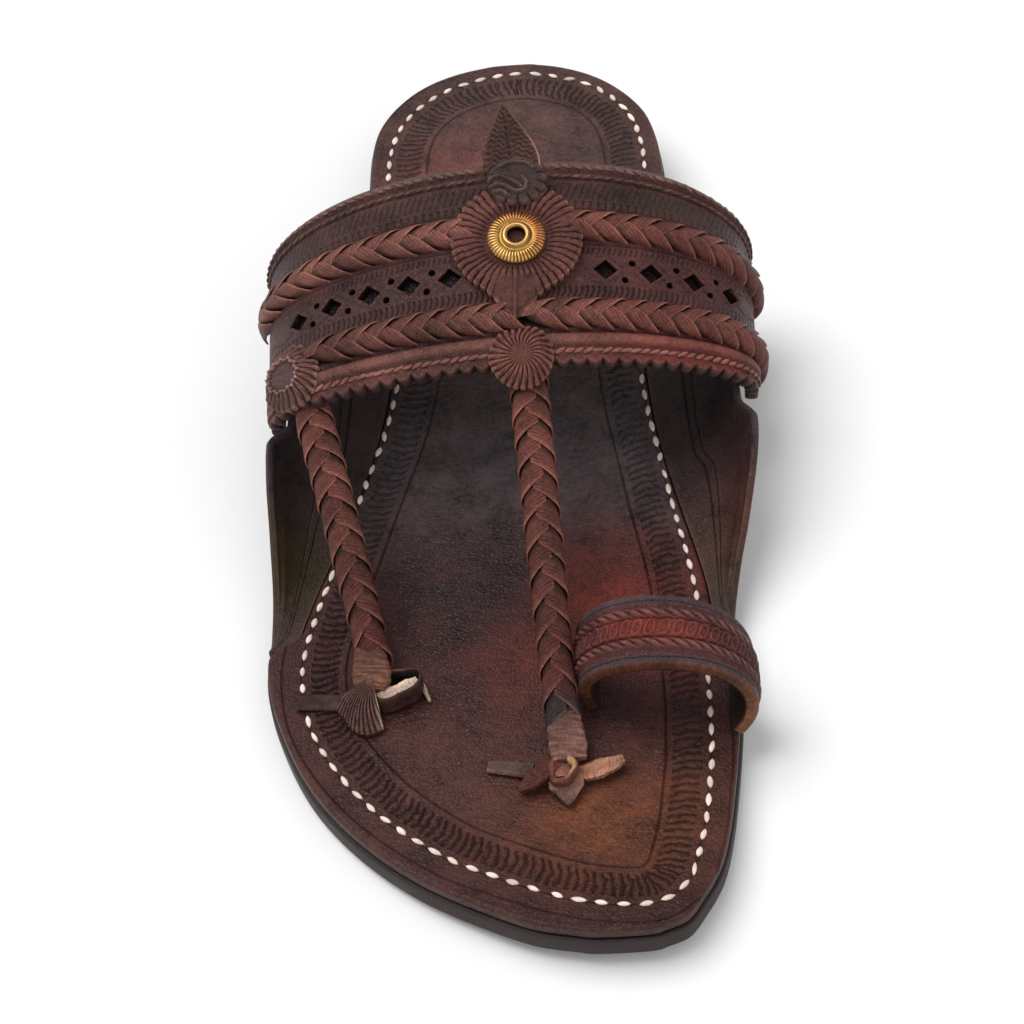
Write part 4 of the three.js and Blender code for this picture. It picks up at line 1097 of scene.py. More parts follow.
def ring_place(across, down, lift):
    """The ring's surface at shares across, from its lateral foot to its medial one, and along its depth"""
    across, down = np.broadcast_arrays(np.asarray(across, float), np.asarray(down, float))

    def surface(across):
        side = np.where(across < 0.5, -1, 1)
        outward = np.clip(np.abs(across - 0.5) * 2, 0, 1)
        height = RING_HEIGHT - RING_FRONT_DROP * down - RING_SPRING
        angle = np.minimum(outward / (1 - RING_LEG_SHARE), 1) * math.pi / 2
        fall = np.maximum(outward - 1 + RING_LEG_SHARE, 0) / RING_LEG_SHARE
        tuck = np.where(across < 0.5, *RING_TUCK)
        x = RING_WIDTH / 2 * np.sin(angle) ** (2 / ARCH_FULLNESS) - tuck * fall**2
        z = RING_SPRING * (1 - fall) + height * np.maximum(np.cos(angle), 0) ** (2 / ARCH_FULLNESS)
        from_heel = RING_BASE_FROM_HEEL[0] + np.diff(RING_BASE_FROM_HEEL)[0] * across
        depth = RING_BASE_DEPTH[0] + np.diff(RING_BASE_DEPTH)[0] * across
        y = HEEL_BACK - from_heel - depth * down
        return np.stack([RING_CENTRE_X + side * x, y, insole_top(y) + CLEARANCE + z], -1)

    place = surface(across)
    run = surface(np.minimum(across + 0.004, 1)) - surface(np.maximum(across - 0.004, 0))
    normal = unit(np.stack([-run[..., 2], 0 * run[..., 0], run[..., 0]], -1))
    place = place + normal * np.asarray(lift)[..., None]
    place[..., 2] = np.maximum(place[..., 2], insole_top(place[..., 1]) + CLEARANCE)
    return place


def ring_skin():
    across = np.linspace(0, 1, 340)[:, None]
    depth = RING_BASE_DEPTH[0]
    down, lift, outside, lined = wall_section(1, RING_WALL, 0.4 / depth, 76, 10)
    u, v = across * RING_ARC, down * depth
    centre = depth / 2
    off = np.abs(v - centre)
    raised = centre - RING_BORDER
    relief = 0.5 * ease(raised, raised - 0.7, off) - 0.25 * hump(off, centre - 1.2, 0.4)
    # A row of pressed ovals between two rows of twisted stitches
    twist = np.abs(np.sin((u - 1.3 * (v - centre)) * math.pi / RING_MARK_PITCH)) ** 0.6
    rows = hump(off, RING_STITCH_ROW, 1.3)
    half = RING_MARK_PITCH / 2
    oval = np.hypot((u + 0.35 * (v - centre) + half) % RING_MARK_PITCH - half, (v - centre) * 0.55)
    relief = relief + rows * (0.6 * twist - 0.25) + 0.35 * hump(oval, 0.95, 0.45) * (off < 2)
    for line, cut in RING_SCORED_LINES:
        relief = relief - cut * hump(off, line, 0.4)
    points = ring_place(across + 0 * down, down + 0 * across, np.where(outside, lift + relief, lift))
    uv = paired(u, np.where(outside, v, OFF_THE_MARKS))
    dye = tint("#4a2826", "#732f26", 0.9 * hump(u, 38, 22) * hump(off, 0, 6))
    # Painted shade in the hollows between the twisted stitches and painted highlights on their crowns
    dye = tint(dye, "#33211f", 0.8 * ease(0.5, 0.1, twist) * (rows > 0.2))
    dye = tint(dye, "#6f4d48", 0.6 * ease(0.6, 1, twist) * rows)
    dye = tint(dye, "#3f3435", hump(off, centre - 0.8, 1.7))
    raw = tint("#4c2d20", "#7c4e34", ease(56, 84, u) * 0.8 + 0.2 * np.sin(u * 1.1) ** 2)
    cut = np.where(lined[..., None], linear("#22150f"), raw)
    dye = np.where(outside[..., None], dye, cut)
    return laid("toe_ring_hide", points, uv, dye, angle=50)


# Thick hide, glossy from the toe's rubbing and matt where it was cut
ring_leather = oiled_leather(
    "tooled toe ring hide", grain=0.6, grain_depth=0.1, wrinkle=0.15, mottle=0.55, gloss=0.38,
)
wear(ring_skin(), ring_leather, "ring_leather", "toe_ring")


# EDGE STITCHING
# Twisted thongs of hide sewn in and out of punched holes: two rows along the band's folded back edge and one
# over its pinked front edge. Every stitch shows as a short slanted leaf, rubbed lighter on its crown, where a
# painted highlight is added.
ROW_PITCH = 2.3
ROW_END = 3
ROW_GAP = 7.5
# Place down the band, slant, length, width and height of a stitch, and colour
BACK_ROWS = ((1.5, 0.35, (2.6, 0.9, 0.45), "#5c463f"), (3.7, -0.3, (2.3, 0.75, 0.45), "#4a3833"))
FRONT_ROW = (49.6, -0.35, (3.1, 1.0, 0.8), "#6a453e")


def sewn_row(name, row, seed):
    down, slant, size, code = row
    across = np.arange(-ARCH["lateral"] + ROW_END, ARCH["medial"] - ROW_END, ROW_PITCH)
    across = across[np.abs(across) > ROW_GAP]
    place, ahead, below, normal = band_frame(across, down)
    lift = band_relief(across, np.full(len(across), float(down))) + 0.05
    heading = ahead * math.cos(slant) + below * math.sin(slant)
    places = place + normal * lift[:, None]
    return sewn(name, places, heading, normal, size, linear(code), jitter=0.12, seed=seed)


for number, row in enumerate((*BACK_ROWS, FRONT_ROW)):
    stitches = sewn_row("edge_stitches_" + str(number + 1), row, seed=20 + number)
    wear(stitches, thong_leather, "band_leather", "upper")


# LEAF AND CURLED DISC
# Two small ornaments cut from the band's hide and sewn where it is folded: a pointed leaf that stands over
# the back edge, stamped with wavy lines, and on its foot a lobed disc with a curl pressed into it.
LEAF_LENGTH = 20
LEAF_WIDTH = 12.4
LEAF_WALL = 2
LEAF_LEAN = 1.5
LEAF_END = 5.3
LEAF_KEEL = 0.5
LEAF_NICK_PITCH = 1.7
LEAF_WAVE_PITCH = 1.4
# Share of the leaf's length from its tip, and its half width there as a share of its width
LEAF_ROWS = [(0, 0.03), (0.2, 0.19), (0.4, 0.35), (0.62, 0.47), (0.82, 0.49), (1, 0.43)]
DISC_RADIUS = 6.4
DISC_WALL = 1.9
DISC_PLACE = (0.8, 6.7)
DISC_BASE = 2.9
DISC_LOBES = 13
# Ridges of the curl, in mm to the big toe's side and to the toe from the disc's middle
CURL_LINES = [
    [(-6.2, -0.2), (-4.3, -1.1), (-1.8, -0.1), (0.1, 1.4), (0.9, 2.3)],
    [(-5.9, 1.4), (-4.0, 1.0), (-2.2, 1.9), (-0.4, 3.2), (1.3, 2.9), (1.9, 1.2), (1.1, -0.3)],
    [(-5.2, 3.0), (-3.6, 2.9), (-2.2, 4.1)],
    [(-3.6, -3.6), (-1.2, -4.6), (1.6, -4.3), (3.4, -3.0)],
]


def over_and_under(low, count):
    """Places from low to 1 over a flat piece's top and back along its underside, and 1 for those on top"""
    over = np.linspace(low, 1, count)
    share = np.concatenate([over, over[::-1], over[:1]])
    level = np.concatenate([np.ones(count), np.zeros(count), [1]])
    return share[None], level[None]


def leaf():
    shape = smooth_line(np.array(LEAF_ROWS, float), np.linspace(0, 1, 300))
    length = np.linspace(0, 1, 90)[:, None]
    half = np.interp(length, shape[:, 0], shape[:, 1]) * LEAF_WIDTH
    share, level = over_and_under(-1, 45)
    nick = 0.45 * np.abs(np.sin(length * LEAF_LENGTH * math.pi / LEAF_NICK_PITCH)) * ease(-0.8, -1, share)
    across = share * (half - nick) - LEAF_LEAN * (1 - length)
    down = LEAF_END - LEAF_LENGTH * (1 - length) + 0 * share
    edge = ease(0.86, 1, np.abs(share))
    wander = 0.5 * np.sin(across * 1.25) + 0.35 * np.sin(across * 2.9 + down * 0.8)
    wave = np.sin((down + wander) * 2 * math.pi / LEAF_WAVE_PITCH) * (1 - edge)
    vein = hump(across + LEAF_LEAN * (1 - length), 0, 0.5)
    thickness = LEAF_WALL + LEAF_KEEL * (1 - np.abs(share)) + 0.15 * wave - 0.45 * edge - 0.3 * vein
    lift = CLEARANCE + level * thickness
    # Painted shade in the troughs of the wavy lines and lighter crests
    dye = tint("#39241f", "#4d322b", 0.5 + 0.5 * wave)
    dye = tint(dye, "#93705f", ease(0.9, 1, share) * level)
    uv = paired(across, down)
    return laid("leaf_tongue_hide", on_band(across, down, lift), uv, dye, angle=50)


def disc_on_band(name, place, rim, top, under, dye, around, rings):
    """A disc laid on the band: rim gives its radius at an angle, 0 towards the toe, and top its height at a
    share of the radius and an angle. Its dye follows the same two."""
    angle = np.linspace(0, 2 * math.pi, around + 1)[None]
    # Rings from the middle to the rim, two down its edge and two back under it
    share = np.concatenate([np.linspace(0, 1, rings) ** 0.8, [1.004, 1.0], [0.55, 0]])[:, None]
    upper = np.array([1.0] * rings + [0.5, 0, 0, 0])[:, None]
    radius = rim(angle) * share
    height = under + (top(np.minimum(share, 1), angle, radius) - under) * upper
    across = place[0] + radius * np.sin(angle)
    down = place[1] + radius * np.cos(angle)
    colour = dye(np.minimum(share, 1) + 0 * angle, angle + 0 * share, radius)
    uv = paired(angle * 10, radius)
    return laid(name, on_band(across, down, height), uv, colour, angle=60)


def away_from(line, x, y):
    """Distance of each place from a smooth line through points"""
    fine = smooth_line(np.array(line, float), np.linspace(0, 1, 60))
    return np.sqrt((x[..., None] - fine[:, 0]) ** 2 + (y[..., None] - fine[:, 1]) ** 2).min(-1)


def curl_relief(angle, radius):
    x, y = radius * np.sin(angle), radius * np.cos(angle)
    lift = 0 * x
    for line in CURL_LINES:
        lift = np.maximum(lift, hump(away_from(line, x, y), 0, 0.85))
    return lift


def flute(angle, count, sharpness=0.6):
    return np.abs(np.sin(angle * count / 2)) ** sharpness


def disc_rim(angle):
    lobes = flute(angle, DISC_LOBES, 0.7)
    turned = ease(-0.5, 0.3, np.sin(angle) + 0.6 * np.cos(angle))
    return DISC_RADIUS * (1 - 0.16 * (1 - lobes) * turned)


def disc_top(share, angle, radius):
    lift = DISC_BASE + DISC_WALL * (0.8 - 0.3 * share**4) + 0.8 * curl_relief(angle, radius)
    lift = lift - 0.45 * (1 - flute(angle, DISC_LOBES, 0.6)) * ease(0.68, 0.9, share)
    return lift - 0.5 * ease(0.93, 1, share)


def disc_dye(share, angle, radius):
    curl = curl_relief(angle, radius)
    # Painted highlights along the curl's ridges
    dye = tint("#402f2c", "#5a4641", 0.6 * curl)
    return tint(dye, "#4c3a37", ease(0.8, 1, share))


# Fine hide, wetted and pressed in a mould, so that it is shiny on its ridges; the leaf's, disc's, medallion's
# and rosettes' dyes are lighter on the ridges and dark between them as painted highlights and painted shade
ornament_leather = oiled_leather(
    "stamped ornament hide", grain=0.5, grain_depth=0.1, wrinkle=0.14, mottle=0.5, gloss=0.44,
)
wear(leaf(), ornament_leather, "rosette_leather", "leaf_tongue")
curled_disc = disc_on_band(
    "curled_disc_hide", DISC_PLACE, disc_rim, disc_top, DISC_BASE, disc_dye, around=208, rings=40,
)
wear(curled_disc, ornament_leather, "rosette_leather", "curled_disc")


# MEDALLION
# A round of hide with a pointed tail, pressed in a ribbed mould: flutes run from the stud to a serrated rim,
# and the tail is smooth with one ridge down its middle. The brass stud clamps it through the band.
MEDALLION_PLACE = (0, 20.9)
MEDALLION_RADIUS = 14.7
MEDALLION_POINT = 20.6
MEDALLION_HEIGHT = 2.3
MEDALLION_DISH = 0.7
MEDALLION_FLUTES = 46
TAIL_TURN = math.radians(33)
TAIL_LEAN = math.radians(3.6)
# Radii between which the tail's smooth field begins, and those where the ribs rise beside the stud
TAIL_START = (9.4, 11.2)
RIB_START = (6.6, 8.4)


def from_tail(angle):
    return np.abs((angle + TAIL_LEAN + math.pi) % (2 * math.pi) - math.pi)


def medallion_rim(angle):
    tail = np.clip(1 - from_tail(angle) / TAIL_TURN, 0, 1) ** 1.7
    tooth = 0.85 * (1 - flute(angle, MEDALLION_FLUTES, 0.7)) * (1 - 0.6 * tail)
    return MEDALLION_RADIUS + (MEDALLION_POINT - MEDALLION_RADIUS) * tail - tooth


def medallion_field(angle, radius):
    """1 on the smooth tail and 0 on the fluted round"""
    return ease(TAIL_TURN * 0.8, TAIL_TURN * 0.5, from_tail(angle)) * ease(*TAIL_START, radius)


def medallion_ribs(angle, radius):
    spread = ease(*RIB_START, radius) * (1 - medallion_field(angle, radius))
    wander = 0.02 * np.sin(5 * angle + 0.4 * radius)
    return (flute(angle + wander * (radius < 12), MEDALLION_FLUTES, 0.42) - 0.72) * spread


def medallion_top(share, angle, radius):
    lift = CLEARANCE + MEDALLION_HEIGHT - MEDALLION_DISH * (1 - ease(7, 9.5, radius))
    lift = lift + 0.7 * medallion_ribs(angle, radius) - 0.7 * ease(0.86, 1, share) ** 2
    ridge = hump(radius * np.sin(angle + TAIL_LEAN), 0, 0.8) * medallion_field(angle, radius)
    return lift + 0.5 * ridge - 0.25 * medallion_field(angle, radius)


def medallion_dye(share, angle, radius):
    ribs = np.clip(1 + medallion_ribs(angle, radius) / 0.5, 0, 1)
    # Painted shade down in the flutes and round the dish's edge, lighter on the ribs
    dye = tint("#25140f", "#623b36", ribs)
    dye = dye * (1 - 0.3 * hump(radius, 7.6, 2.4))[..., None]
    dye = tint(dye, "#56342f", medallion_field(angle, radius))
    dye = tint(dye, "#7a574d", 0.5 * ease(0.93, 1, share))
    return tint(dye, "#4e2d25", 1 - ease(1.9, 2.6, radius))


medallion = disc_on_band(
    "medallion_hide", MEDALLION_PLACE, medallion_rim, medallion_top, CLEARANCE, medallion_dye,
    around=MEDALLION_FLUTES * 10, rings=44,
)
wear(medallion, ornament_leather, "rosette_leather", "medallion")


# BRASS STUD
# A stamped brass washer with fine flutes and a rolled collar round its hole, riveted through the medallion.
# It is rubbed bright on its high parts, with painted highlights on one side of its crown and round its
# collar, and brown with tarnish down in the flutes.
STUD_BASE = CLEARANCE + MEDALLION_HEIGHT - MEDALLION_DISH + CLEARANCE
STUD_FLUTES = 48
# Radius and height of the washer's section, from its foot over the crown, dish and collar into the hole
STUD_SECTION = [
    (6.6, 0), (6.8, 0.15), (6.8, 0.4), (6.65, 0.72), (6.3, 1.02), (5.8, 1.26), (5.2, 1.42), (4.7, 1.46),
    (4.35, 1.36), (4.1, 1.18), (3.8, 1.06), (3.5, 1.12), (3.32, 1.3), (3.22, 1.55), (3.05, 1.76),
    (2.75, 1.86), (2.4, 1.8), (2.1, 1.66), (1.95, 1.4), (1.9, 1.0), (1.9, 0), (4, 0), (6.6, 0),
]


def stud():
    place, ahead, below, normal = band_frame(*MEDALLION_PLACE)
    angle = np.linspace(0, 2 * math.pi, STUD_FLUTES * 8 + 1)[None]
    section = np.array(STUD_SECTION)
    radius, height = section[:, :1], section[:, 1:]
    fluted = ease(4.2, 4.7, radius) * ease(0.1, 0.3, height)
    valley = (1 - flute(angle, STUD_FLUTES, 0.8)) * fluted
    height = height - 0.24 * valley
    radius = radius - 0.2 * valley * ease(6, 6.8, radius)
    points = place + ahead * (radius * np.sin(angle))[..., None] + below * (radius * np.cos(angle))[..., None]
    points = points + normal * (STUD_BASE + height)[..., None]
    # Painted highlight: the crown is lighter on one side, as if lit from there
    side = 0.5 - 0.5 * np.sin(angle - 0.8)
    crown = tint("#c07a4a", "#e2b76e", side)
    dye = tint(crown + 0 * valley[..., None], "#6a3c1e", 0.85 * valley)
    smooth = 1 - ease(4.0, 4.5, section[:, :1]) + 0 * angle
    dye = tint(dye, "#94723a", smooth * 0.85)
    # Painted highlight round the rolled collar
    dye = tint(dye, "#c69c66", hump(section[:, :1], 2.8, 0.6) + 0 * angle)
    dye = tint(dye, "#5a3626", (1 - ease(1.9, 2.1, section[:, :1])) + 0 * angle)
    uv = paired(angle * 6, radius)
    return laid("brass_stud", points, uv, dye, closed=False, angle=70)


def worn_brass(name):
    """Stamped brass, handled and never polished: warm yellow, finely pitted, with brown tarnish"""
    material, tree, shader, place, dye = blank_material(name)
    tarnish = add(tree, "TexNoise", {"Scale": 700, "Detail": 4, "Roughness": 0.7}, {"Vector": place})
    browned = {"From Min": 0.35, "From Max": 0.6, "To Min": 0.7, "To Max": 1.08}
    shade = add(tree, "MapRange", browned, {"Value": tarnish})
    colour = add(tree, "VectorMath", {"operation": "SCALE"}, {0: dye, "Scale": shade})
    dulled = {"From Min": 0.3, "From Max": 0.7, "To Min": 0.24, "To Max": 0.5}
    rough = add(tree, "MapRange", dulled, {"Value": tarnish})
    bump = add(tree, "Bump", {"Strength": 0.25, "Distance": 0.05 * MM}, {"Height": tarnish})
    finish_with(tree, shader, Base_Color=colour, Roughness=rough, Normal=bump)
    shader.inputs["Metallic"].default_value = 1
    return material


wear(stud(), worn_brass("stamped brass, tarnished in the flutes"), "brass", "brass_rosette")


# ROSETTES
# Rounds of hide with petals cut and curled by a round gouge. The front one covers the centre strap's root at
# the band's edge, and the side one covers the outer strap's root and has a rolled ring round its middle.
ROSETTE_HEIGHT = 2.6
# The middle and the rolled ring are shares of the radius, and 0 is no ring. The swirl leans the petals.
# low and high are each rosette's colour in the petals' hollows and on their crests, painted shade and painted
# highlight
ROSETTES = {
    "front_rosette": {
        "place": (-0.2, 51), "radius": 7.9, "petals": 26, "swirl": 2.4, "middle": 0.3, "ring": 0,
        "low": "#281310", "high": "#6b423a", "core": "#5b342d",
    },
    "side_rosette": {
        "place": (-59, 44.2), "radius": 9.3, "petals": 26, "swirl": 3.2, "middle": 0.34, "ring": 0.5,
        "low": "#1f1413", "high": "#603f39", "core": "#54393a",
    },
}


def rosette(name, look):
    radius_mm, petals, ring = look["radius"], look["petals"], look["ring"]

    def past_middle(share):
        return ease(look["middle"], look["middle"] + 0.16, share)

    def on_ring(share, angle, half):
        wave = ring + 0.035 * np.sin(petals / 2 * angle)
        return hump(share - wave + ring, ring, half)

    def petal(share, angle):
        return flute(angle + look["swirl"] * share / petals * 4, petals, 0.45)

    def rim(angle):
        wide = 1 - 0.11 * (1 - petal(1, angle)) + 0.025 * np.sin(3 * angle + 1)
        return radius_mm * wide

    def top(share, angle, radius):
        dome = 0.42 + 0.58 * (1 - ease(0.55, 1, share))
        spread = past_middle(share)
        lift = CLEARANCE + ROSETTE_HEIGHT * dome + 0.7 * (petal(share, angle) - 0.7) * spread
        lift = lift + 0.3 * (1 - spread) * np.cos(share / look["middle"] * math.pi / 2)
        if ring:
            lift = lift + 0.6 * on_ring(share, angle, 0.085)
        lift = lift + 0.4 * np.sin(5 * angle + 1) * share**3
        return lift - 0.35 * ease(0.93, 1, share)

    def dye(share, angle, radius):
        spread = past_middle(share)
        # Painted shade between the petals and painted highlights on their crests
        shade = tint(look["low"], look["high"], petal(share, angle) ** 1.3)
        shade = tint(look["core"], shade, spread)
        if ring:
            # Painted highlight along the rolled ring
            shade = tint(shade, "#86706a", 0.8 * on_ring(share, angle, 0.06))
            shade = tint(shade, "#41382a", 0.35 * hump(np.sin(angle - 0.9), -0.9, 0.5) * spread)
        return tint(shade, "#8a6a5e", 0.35 * ease(0.95, 1, share) * petal(share, angle))

    return disc_on_band(
        name + "_hide", look["place"], rim, top, CLEARANCE, dye, around=petals * 14, rings=36,
    )


for name, look in ROSETTES.items():
    wear(rosette(name, look), ornament_leather, "rosette_leather", name)


# KNOTS
# The plaits' tails, soaked and drawn through a slit in the insole's top. Each is whipped round with a strip
# of the same hide; the centre one ends in an eyelet and two cut tails, the outer one in a pleated fan.
SLEEVE_STRIPE = 1.25
STRIP_SQUARENESS = 0.7


def strip(name, path, widths, thicknesses, dye, around=18, steps=40, stripe=0.0, ragged=0.0, seed=1):
    """A strip of hide along a smooth path, with rounded edges. stripe is the height of its cross creases and
    ragged the unevenness of a torn edge, in mm."""
    rng = np.random.default_rng(seed)
    share = np.linspace(0, 1, steps)
    line = smooth_line(np.array(path, float), share)
    run = unit(np.gradient(line, axis=0))
    sideways = unit(np.cross(run, (0, 0, 1)))
    up = np.cross(sideways, run)
    width, thick = (np.interp(share, np.linspace(0, 1, len(row)), row) for row in (widths, thicknesses))
    length = np.concatenate([[0], np.cumsum(np.linalg.norm(np.diff(line, axis=0), axis=1))])
    angle = np.linspace(0, 2 * math.pi, around + 1)[None]
    x = rounder(np.cos(angle), STRIP_SQUARENESS) * width[:, None] / 2
    z = rounder(np.sin(angle), STRIP_SQUARENESS) * thick[:, None] / 2
    wander = 0.5 * np.sin(angle * 2) + 0.35 * np.sin(length[:, None] * 1.7 + angle)
    crease = np.abs(np.sin((length[:, None] + wander) * math.pi / SLEEVE_STRIPE)) ** 0.6
    fibres = 0.9 * rng.normal(0, 1, around + 1) + 0.4 * rng.normal(0, 1, (steps, around + 1))
    grow = stripe * (crease - 0.6) + ragged * fibres
    grow[:, -1] = grow[:, 0]
    x, z = x + grow * np.cos(angle), z + grow * np.sin(angle)
    points = line[:, None] + sideways[:, None] * x[..., None] + up[:, None] * z[..., None]
    shade = dye(share[:, None] + 0 * angle, angle + 0 * share[:, None])
    # Painted shade down in the cross creases
    shade = tint(shade * 0.55, shade, crease) if stripe else shade
    uv = paired(length[:, None], angle * 2)
    return laid(name, points, uv, shade, angle=50)


def loop(name, middle, radii, turn, wall, low, high, dye, seed):
    """An eyelet: an oval collar of hide of one wall between two heights"""
    angle = np.linspace(0, 2 * math.pi, 61)[:, None]
    across = np.array([[-0.5, -0.5, -0.5, -0.25, 0.25, 0.5, 0.5, 0.5, -0.5]])
    rise = np.array([[0, 0.5, 0.85, 1, 1, 0.85, 0.5, 0, 0]])
    grow = across * wall
    uneven = 1 + 0.06 * np.sin(3 * angle + seed) + 0.04 * np.sin(5 * angle)
    x = (radii[0] * uneven + grow) * np.cos(angle)
    y = (radii[1] * uneven + grow) * np.sin(angle)
    z = low + (high - low) * rise + 0.5 * np.sin(angle + seed) * rise
    cos, sin = math.cos(turn), math.sin(turn)
    points = np.stack([middle[0] + x * cos - y * sin, middle[1] + x * sin + y * cos, z], -1)
    shade = dye(across + 0 * angle, angle + 0 * across)
    uv = paired(angle * radii[0], rise * 3)
    return laid(name, points, uv, shade, closed=False, angle=50)


def plain(code):
    return lambda share, angle: np.broadcast_to(linear(code), (*share.shape, 3))


def from_to(first, second):
    return lambda share, angle: tint(first, second, share)


def pleated_fan(name, middle, turns, radius, pleats):
    """A fan of small curved pleats gathered at its middle, its rim drawn out to a blunt point"""
    reach = np.linspace(0.06, 1, 24)[:, None]
    share, level = over_and_under(0, 90)
    angle = turns[0] + (turns[1] - turns[0]) * share
    pleat = np.abs(np.sin((share + 0.06 * np.sin(reach * 4)) * math.pi * pleats)) ** 0.5
    rim = radius * (0.78 + 0.22 * hump(share, 0.72, 0.5)) + 0.3 * pleat
    r = rim * reach
    x = middle[0] + r * np.cos(angle)
    y = middle[1] + r * np.sin(angle)
    base = insole_top(y) + CLEARANCE
    crown = 4.4 * (1 - reach**1.6) + 1.1 * np.sqrt(np.maximum(1 - reach**2, 0))
    z = base + level * (0.9 + crown + 0.6 * (pleat - 0.6) * ease(0.1, 0.4, reach))
    # Painted shade in the pleats' hollows and on the underside, and lighter pleat crests as painted
    # highlights
    dye = tint("#241715", "#5b403a", pleat * level) + 0 * reach[..., None]
    dye = tint(dye, "#8d7568", ease(0.9, 1, share) * level * ease(0.2, 0.5, reach))
    uv = paired(share * 20, r)
    return laid(name, np.stack(np.broadcast_arrays(x, y, z), -1), uv, dye, angle=60)


def lit_cut(across, angle):
    """The eyelet's dyed outside and its raw tan cut edge inside, brighter on one side as a painted highlight
    """
    cut = ease(0.1, -0.45, across)
    return tint("#5a352b", "#b08a62", cut * np.clip(0.35 + 0.9 * np.cos(angle - 0.7), 0, 1))


def dark_mouth(across, angle):
    # Painted shade down inside the mouth and a painted highlight on one side of its rim
    wall = tint("#140d0c", "#3a2620", ease(-0.3, 0.4, across) + 0 * angle)
    return tint(wall, "#856a58", hump(across, 0, 0.35) * np.clip(np.cos(angle - 2.2), 0.1, 1))


# Hide that dried as it was drawn, creased and half glossy
knot_leather = oiled_leather(
    "wetted and drawn knot hide", grain=0.5, grain_depth=0.12, wrinkle=0.25, mottle=0.6, gloss=0.36,
)
# Each strip has its path in mm, its widths and thicknesses along it, and its colours from first to last
knot_pieces = {
    "centre_wrap": [
        strip("centre_sleeve",
              [(4.6, -172.6, 15.0), (5.2, -179, 14.2), (5.7, -184.5, 13.6), (6.1, -188.8, 12.9)],
              (5.6, 7.2, 7.9, 8.3, 7.0), (3.6, 4.4, 4.3, 4.0, 2.0), from_to("#4a302b", "#7a564c"),
              stripe=0.4, ragged=0.05, seed=31),
        loop("centre_eyelet", middle=(4.5, -191.0), radii=(2.5, 3.2), turn=-0.2, wall=1.3,
             low=11.0, high=13.8, dye=lit_cut, seed=1),
        strip("centre_plug",
              [(4.3, -188.9, 11.2), (4.3, -190.6, 11.9), (4.2, -192.6, 11.6)],
              (3.0, 3.8, 3.0), (2.4, 2.4), from_to("#3a1f1a", "#8a5f52"), ragged=0.08, steps=16, seed=35),
        strip("centre_red_tail",
              [(3.6, -189.3, 12.6), (0.2, -191.2, 11.9), (-2.6, -192.8, 11.0), (-5.0, -194.2, 10.1)],
              (3.2, 4.4, 4.0, 0.8), (2.1, 1.2), from_to("#4c241f", "#5a3029"), ragged=0.1, seed=32),
        strip("centre_cut_tail",
              [(4.9, -190.5, 11.2), (5.0, -193, 10.9), (5.2, -195.6, 10.4), (5.3, -198.4, 9.8)],
              (5.0, 7.6, 7.4, 4.0, 0.4), (2.0, 1.5), from_to("#8a6150", "#4f3f3b"), ragged=0.08, seed=33),
    ],
    "outer_wrap": [
        strip("outer_sleeve",
              [(-36.9, -156.4, 15.0), (-36.4, -161, 14.3), (-36.3, -164, 13.6), (-36.6, -166.6, 12.8)],
              (5.8, 7.6, 8.6, 8.4, 6.0), (3.8, 4.4, 4.2, 3.4, 1.8), from_to("#4f322b", "#78503f"),
              stripe=0.3, ragged=0.05, seed=34),
        pleated_fan("outer_fan", middle=(-36.2, -165), turns=(math.radians(200), math.radians(282)),
                    radius=11.4, pleats=13),
        loop("outer_mouth", middle=(-31.2, -165.7), radii=(5.6, 3.5), turn=0.36, wall=0.9,
             low=9.2, high=13.6, dye=dark_mouth, seed=2),
    ],
}
for node, pieces in knot_pieces.items():
    for piece in pieces:
        wear(piece, knot_leather, "wrap_leather", node)


# PEGS
# Flat slips of raw, undyed hide pushed through the knots so that they can't draw back. Where they were dyed
# with the insole they are nearly black, and their torn ends show tan fibre.
# Undyed hide torn across its fibres, matt and pale
raw_hide = oiled_leather(
    "torn raw hide, tan fibre", grain=0.35, grain_depth=0.12, wrinkle=0.3, mottle=0.6, gloss=0.7,
)
peg_pieces = {
    "centre_peg": [
        strip("centre_peg_end",
              [(6.8, -190.6, 10.4), (10.2, -190.3, 10.6), (13.6, -189.4, 11.0), (17.4, -187.8, 10.7)],
              (2.6, 4.4, 4.8, 4.0, 1.8), (1.6, 2.2, 1.6), from_to("#9c6750", "#a67c66"), ragged=0.2, seed=41),
        strip("centre_peg_root",
              [(-11.6, -186.7, 9.3), (-7, -187.6, 9.5), (-2, -188.9, 9.8)],
              (2.9, 3.6, 4.0), (1.1, 1.3), from_to("#6a524b", "#463432"), ragged=0.06, seed=42),
    ],
    "outer_peg": [
        strip("outer_peg_end",
              [(-35.2, -168.2, 11.4), (-32.6, -167.0, 11.7), (-29.6, -165.6, 11.5), (-26.6, -163.9, 11.0)],
              (2.6, 3.4, 2.2, 3.4, 2.4), (1.8, 2.0), from_to("#c8aa98", "#dcc2b2"), ragged=0.15, seed=43),
        strip("outer_peg_sliver",
              [(-26.2, -161.4, 9.4), (-25.2, -164.6, 9.5), (-24.0, -168.0, 9.3)],
              (0.7, 1.1, 0.7), (0.9, 0.9), plain("#b39a86"), around=10, steps=16, seed=44),
        strip("outer_peg_root",
              [(-53.2, -166.3, 9.3), (-48.5, -166.6, 9.5), (-43, -167.4, 9.8)],
              (3.8, 4.2, 4.0), (1.1, 1.3), from_to("#3e2e2c", "#4a3330"), ragged=0.06, seed=45),
    ],
}
for node, pieces in peg_pieces.items():
    for piece in pieces:
        wear(piece, raw_hide, "peg_leather", node)


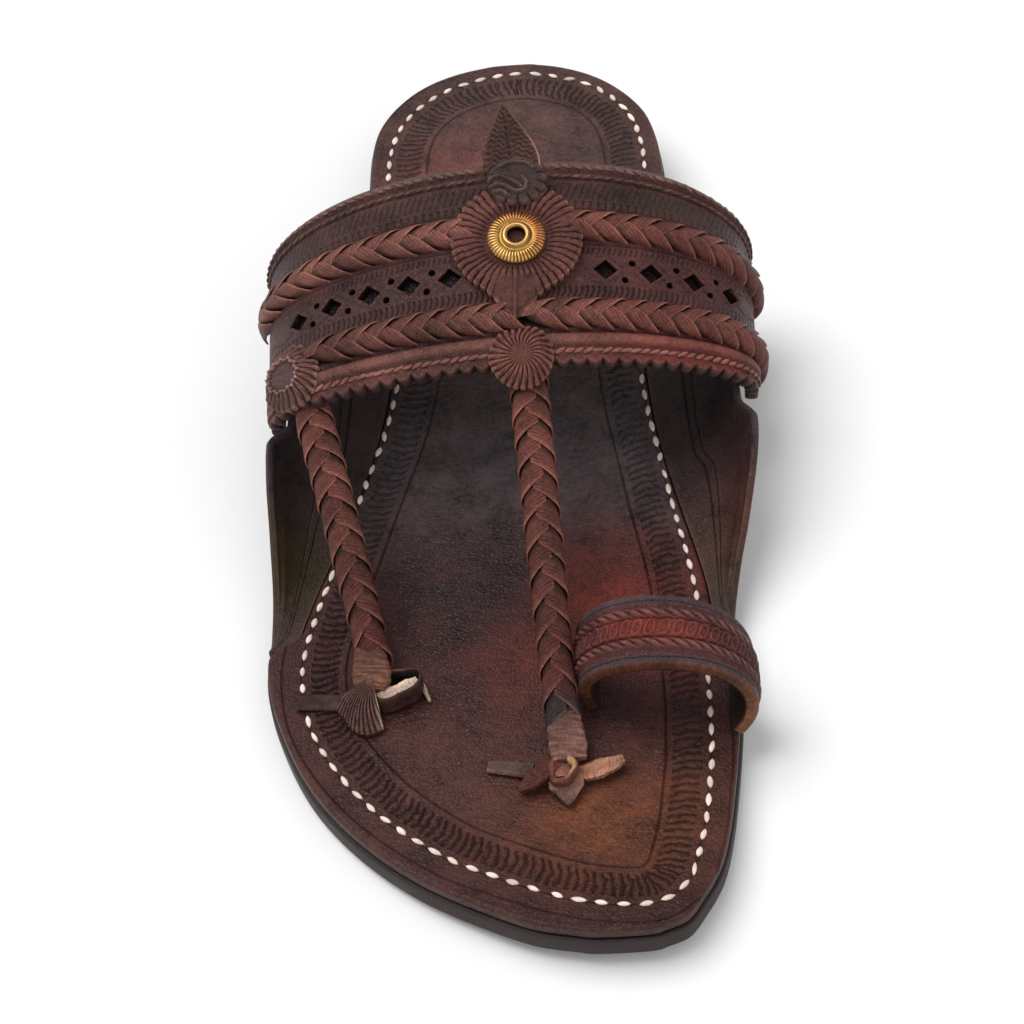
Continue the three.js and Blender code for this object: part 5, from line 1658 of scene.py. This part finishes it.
# CAMERA, FLOOR AND LIGHT
# The sandal stands alone on a pale studio floor. The camera keeps the photograph's angle to the shoe, from
# before and above the toe, and two large soft lamps light it, one from above and one over the toe.
CAMERA_PLACE = (20.8, -548.8, 501.6)
AIM_PLACE = (-4.8, -114.3, 9)
CAMERA_ROLL = -6.25
LENS = 100.2
FLOOR_WIDTH = 6000
FLOOR_DROP = 0.2
AIR_LIGHT = 0.5


def studio_floor():
    bpy.ops.object.select_all(action="DESELECT")
    bpy.ops.mesh.primitive_plane_add(size=FLOOR_WIDTH * MM, location=(0, 0, -FLOOR_DROP * MM))
    floor = bpy.context.object
    floor.name = "studio_floor"
    # Seamless studio paper, which hardly shines
    material = bpy.data.materials.new("matt white paper")
    material.use_nodes = True
    shader = material.node_tree.nodes["Principled BSDF"]
    shader.inputs["Base Color"].default_value = (*linear("#efefef"), 1)
    shader.inputs["Roughness"].default_value = 0.9
    shader.inputs["Specular IOR Level"].default_value = 0.1
    floor.data.materials.append(material)
    return floor


def soft_box(name, toward, spread, strength):
    """A wide lamp far off in a direction, its width given as the angle it fills"""
    light = bpy.data.lights.new(name, "SUN")
    light.angle = math.radians(spread)
    light.energy = strength
    item = bpy.data.objects.new(name, light)
    bpy.context.collection.objects.link(item)
    item.rotation_euler = Vector(toward).to_track_quat("Z", "Y").to_euler()


def studio_camera():
    data = bpy.data.cameras.new("camera")
    data.sensor_width = 36
    data.lens = LENS
    data.clip_start = 0.01
    camera = bpy.data.objects.new("camera", data)
    bpy.context.collection.objects.link(camera)
    place = Vector(CAMERA_PLACE) * MM
    camera.location = place
    level = (Vector(AIM_PLACE) * MM - place).to_track_quat("-Z", "Y")
    camera.rotation_euler = (level @ Quaternion((0, 0, 1), math.radians(CAMERA_ROLL))).to_euler()
    bpy.context.scene.camera = camera


studio_floor()
studio_camera()
world = bpy.data.worlds.new("studio air")
world.use_nodes = True
world.node_tree.nodes["Background"].inputs["Color"].default_value = (1, 1, 1, 1)
world.node_tree.nodes["Background"].inputs["Strength"].default_value = AIR_LIGHT
bpy.context.scene.world = world
bpy.context.scene.view_settings.view_transform = "Standard"
soft_box("soft box above", toward=(-0.42, 0.22, 1), spread=45, strength=2.1)
soft_box("soft box at the toe", toward=(0.5, -0.8, 0.8), spread=60, strength=0.7)
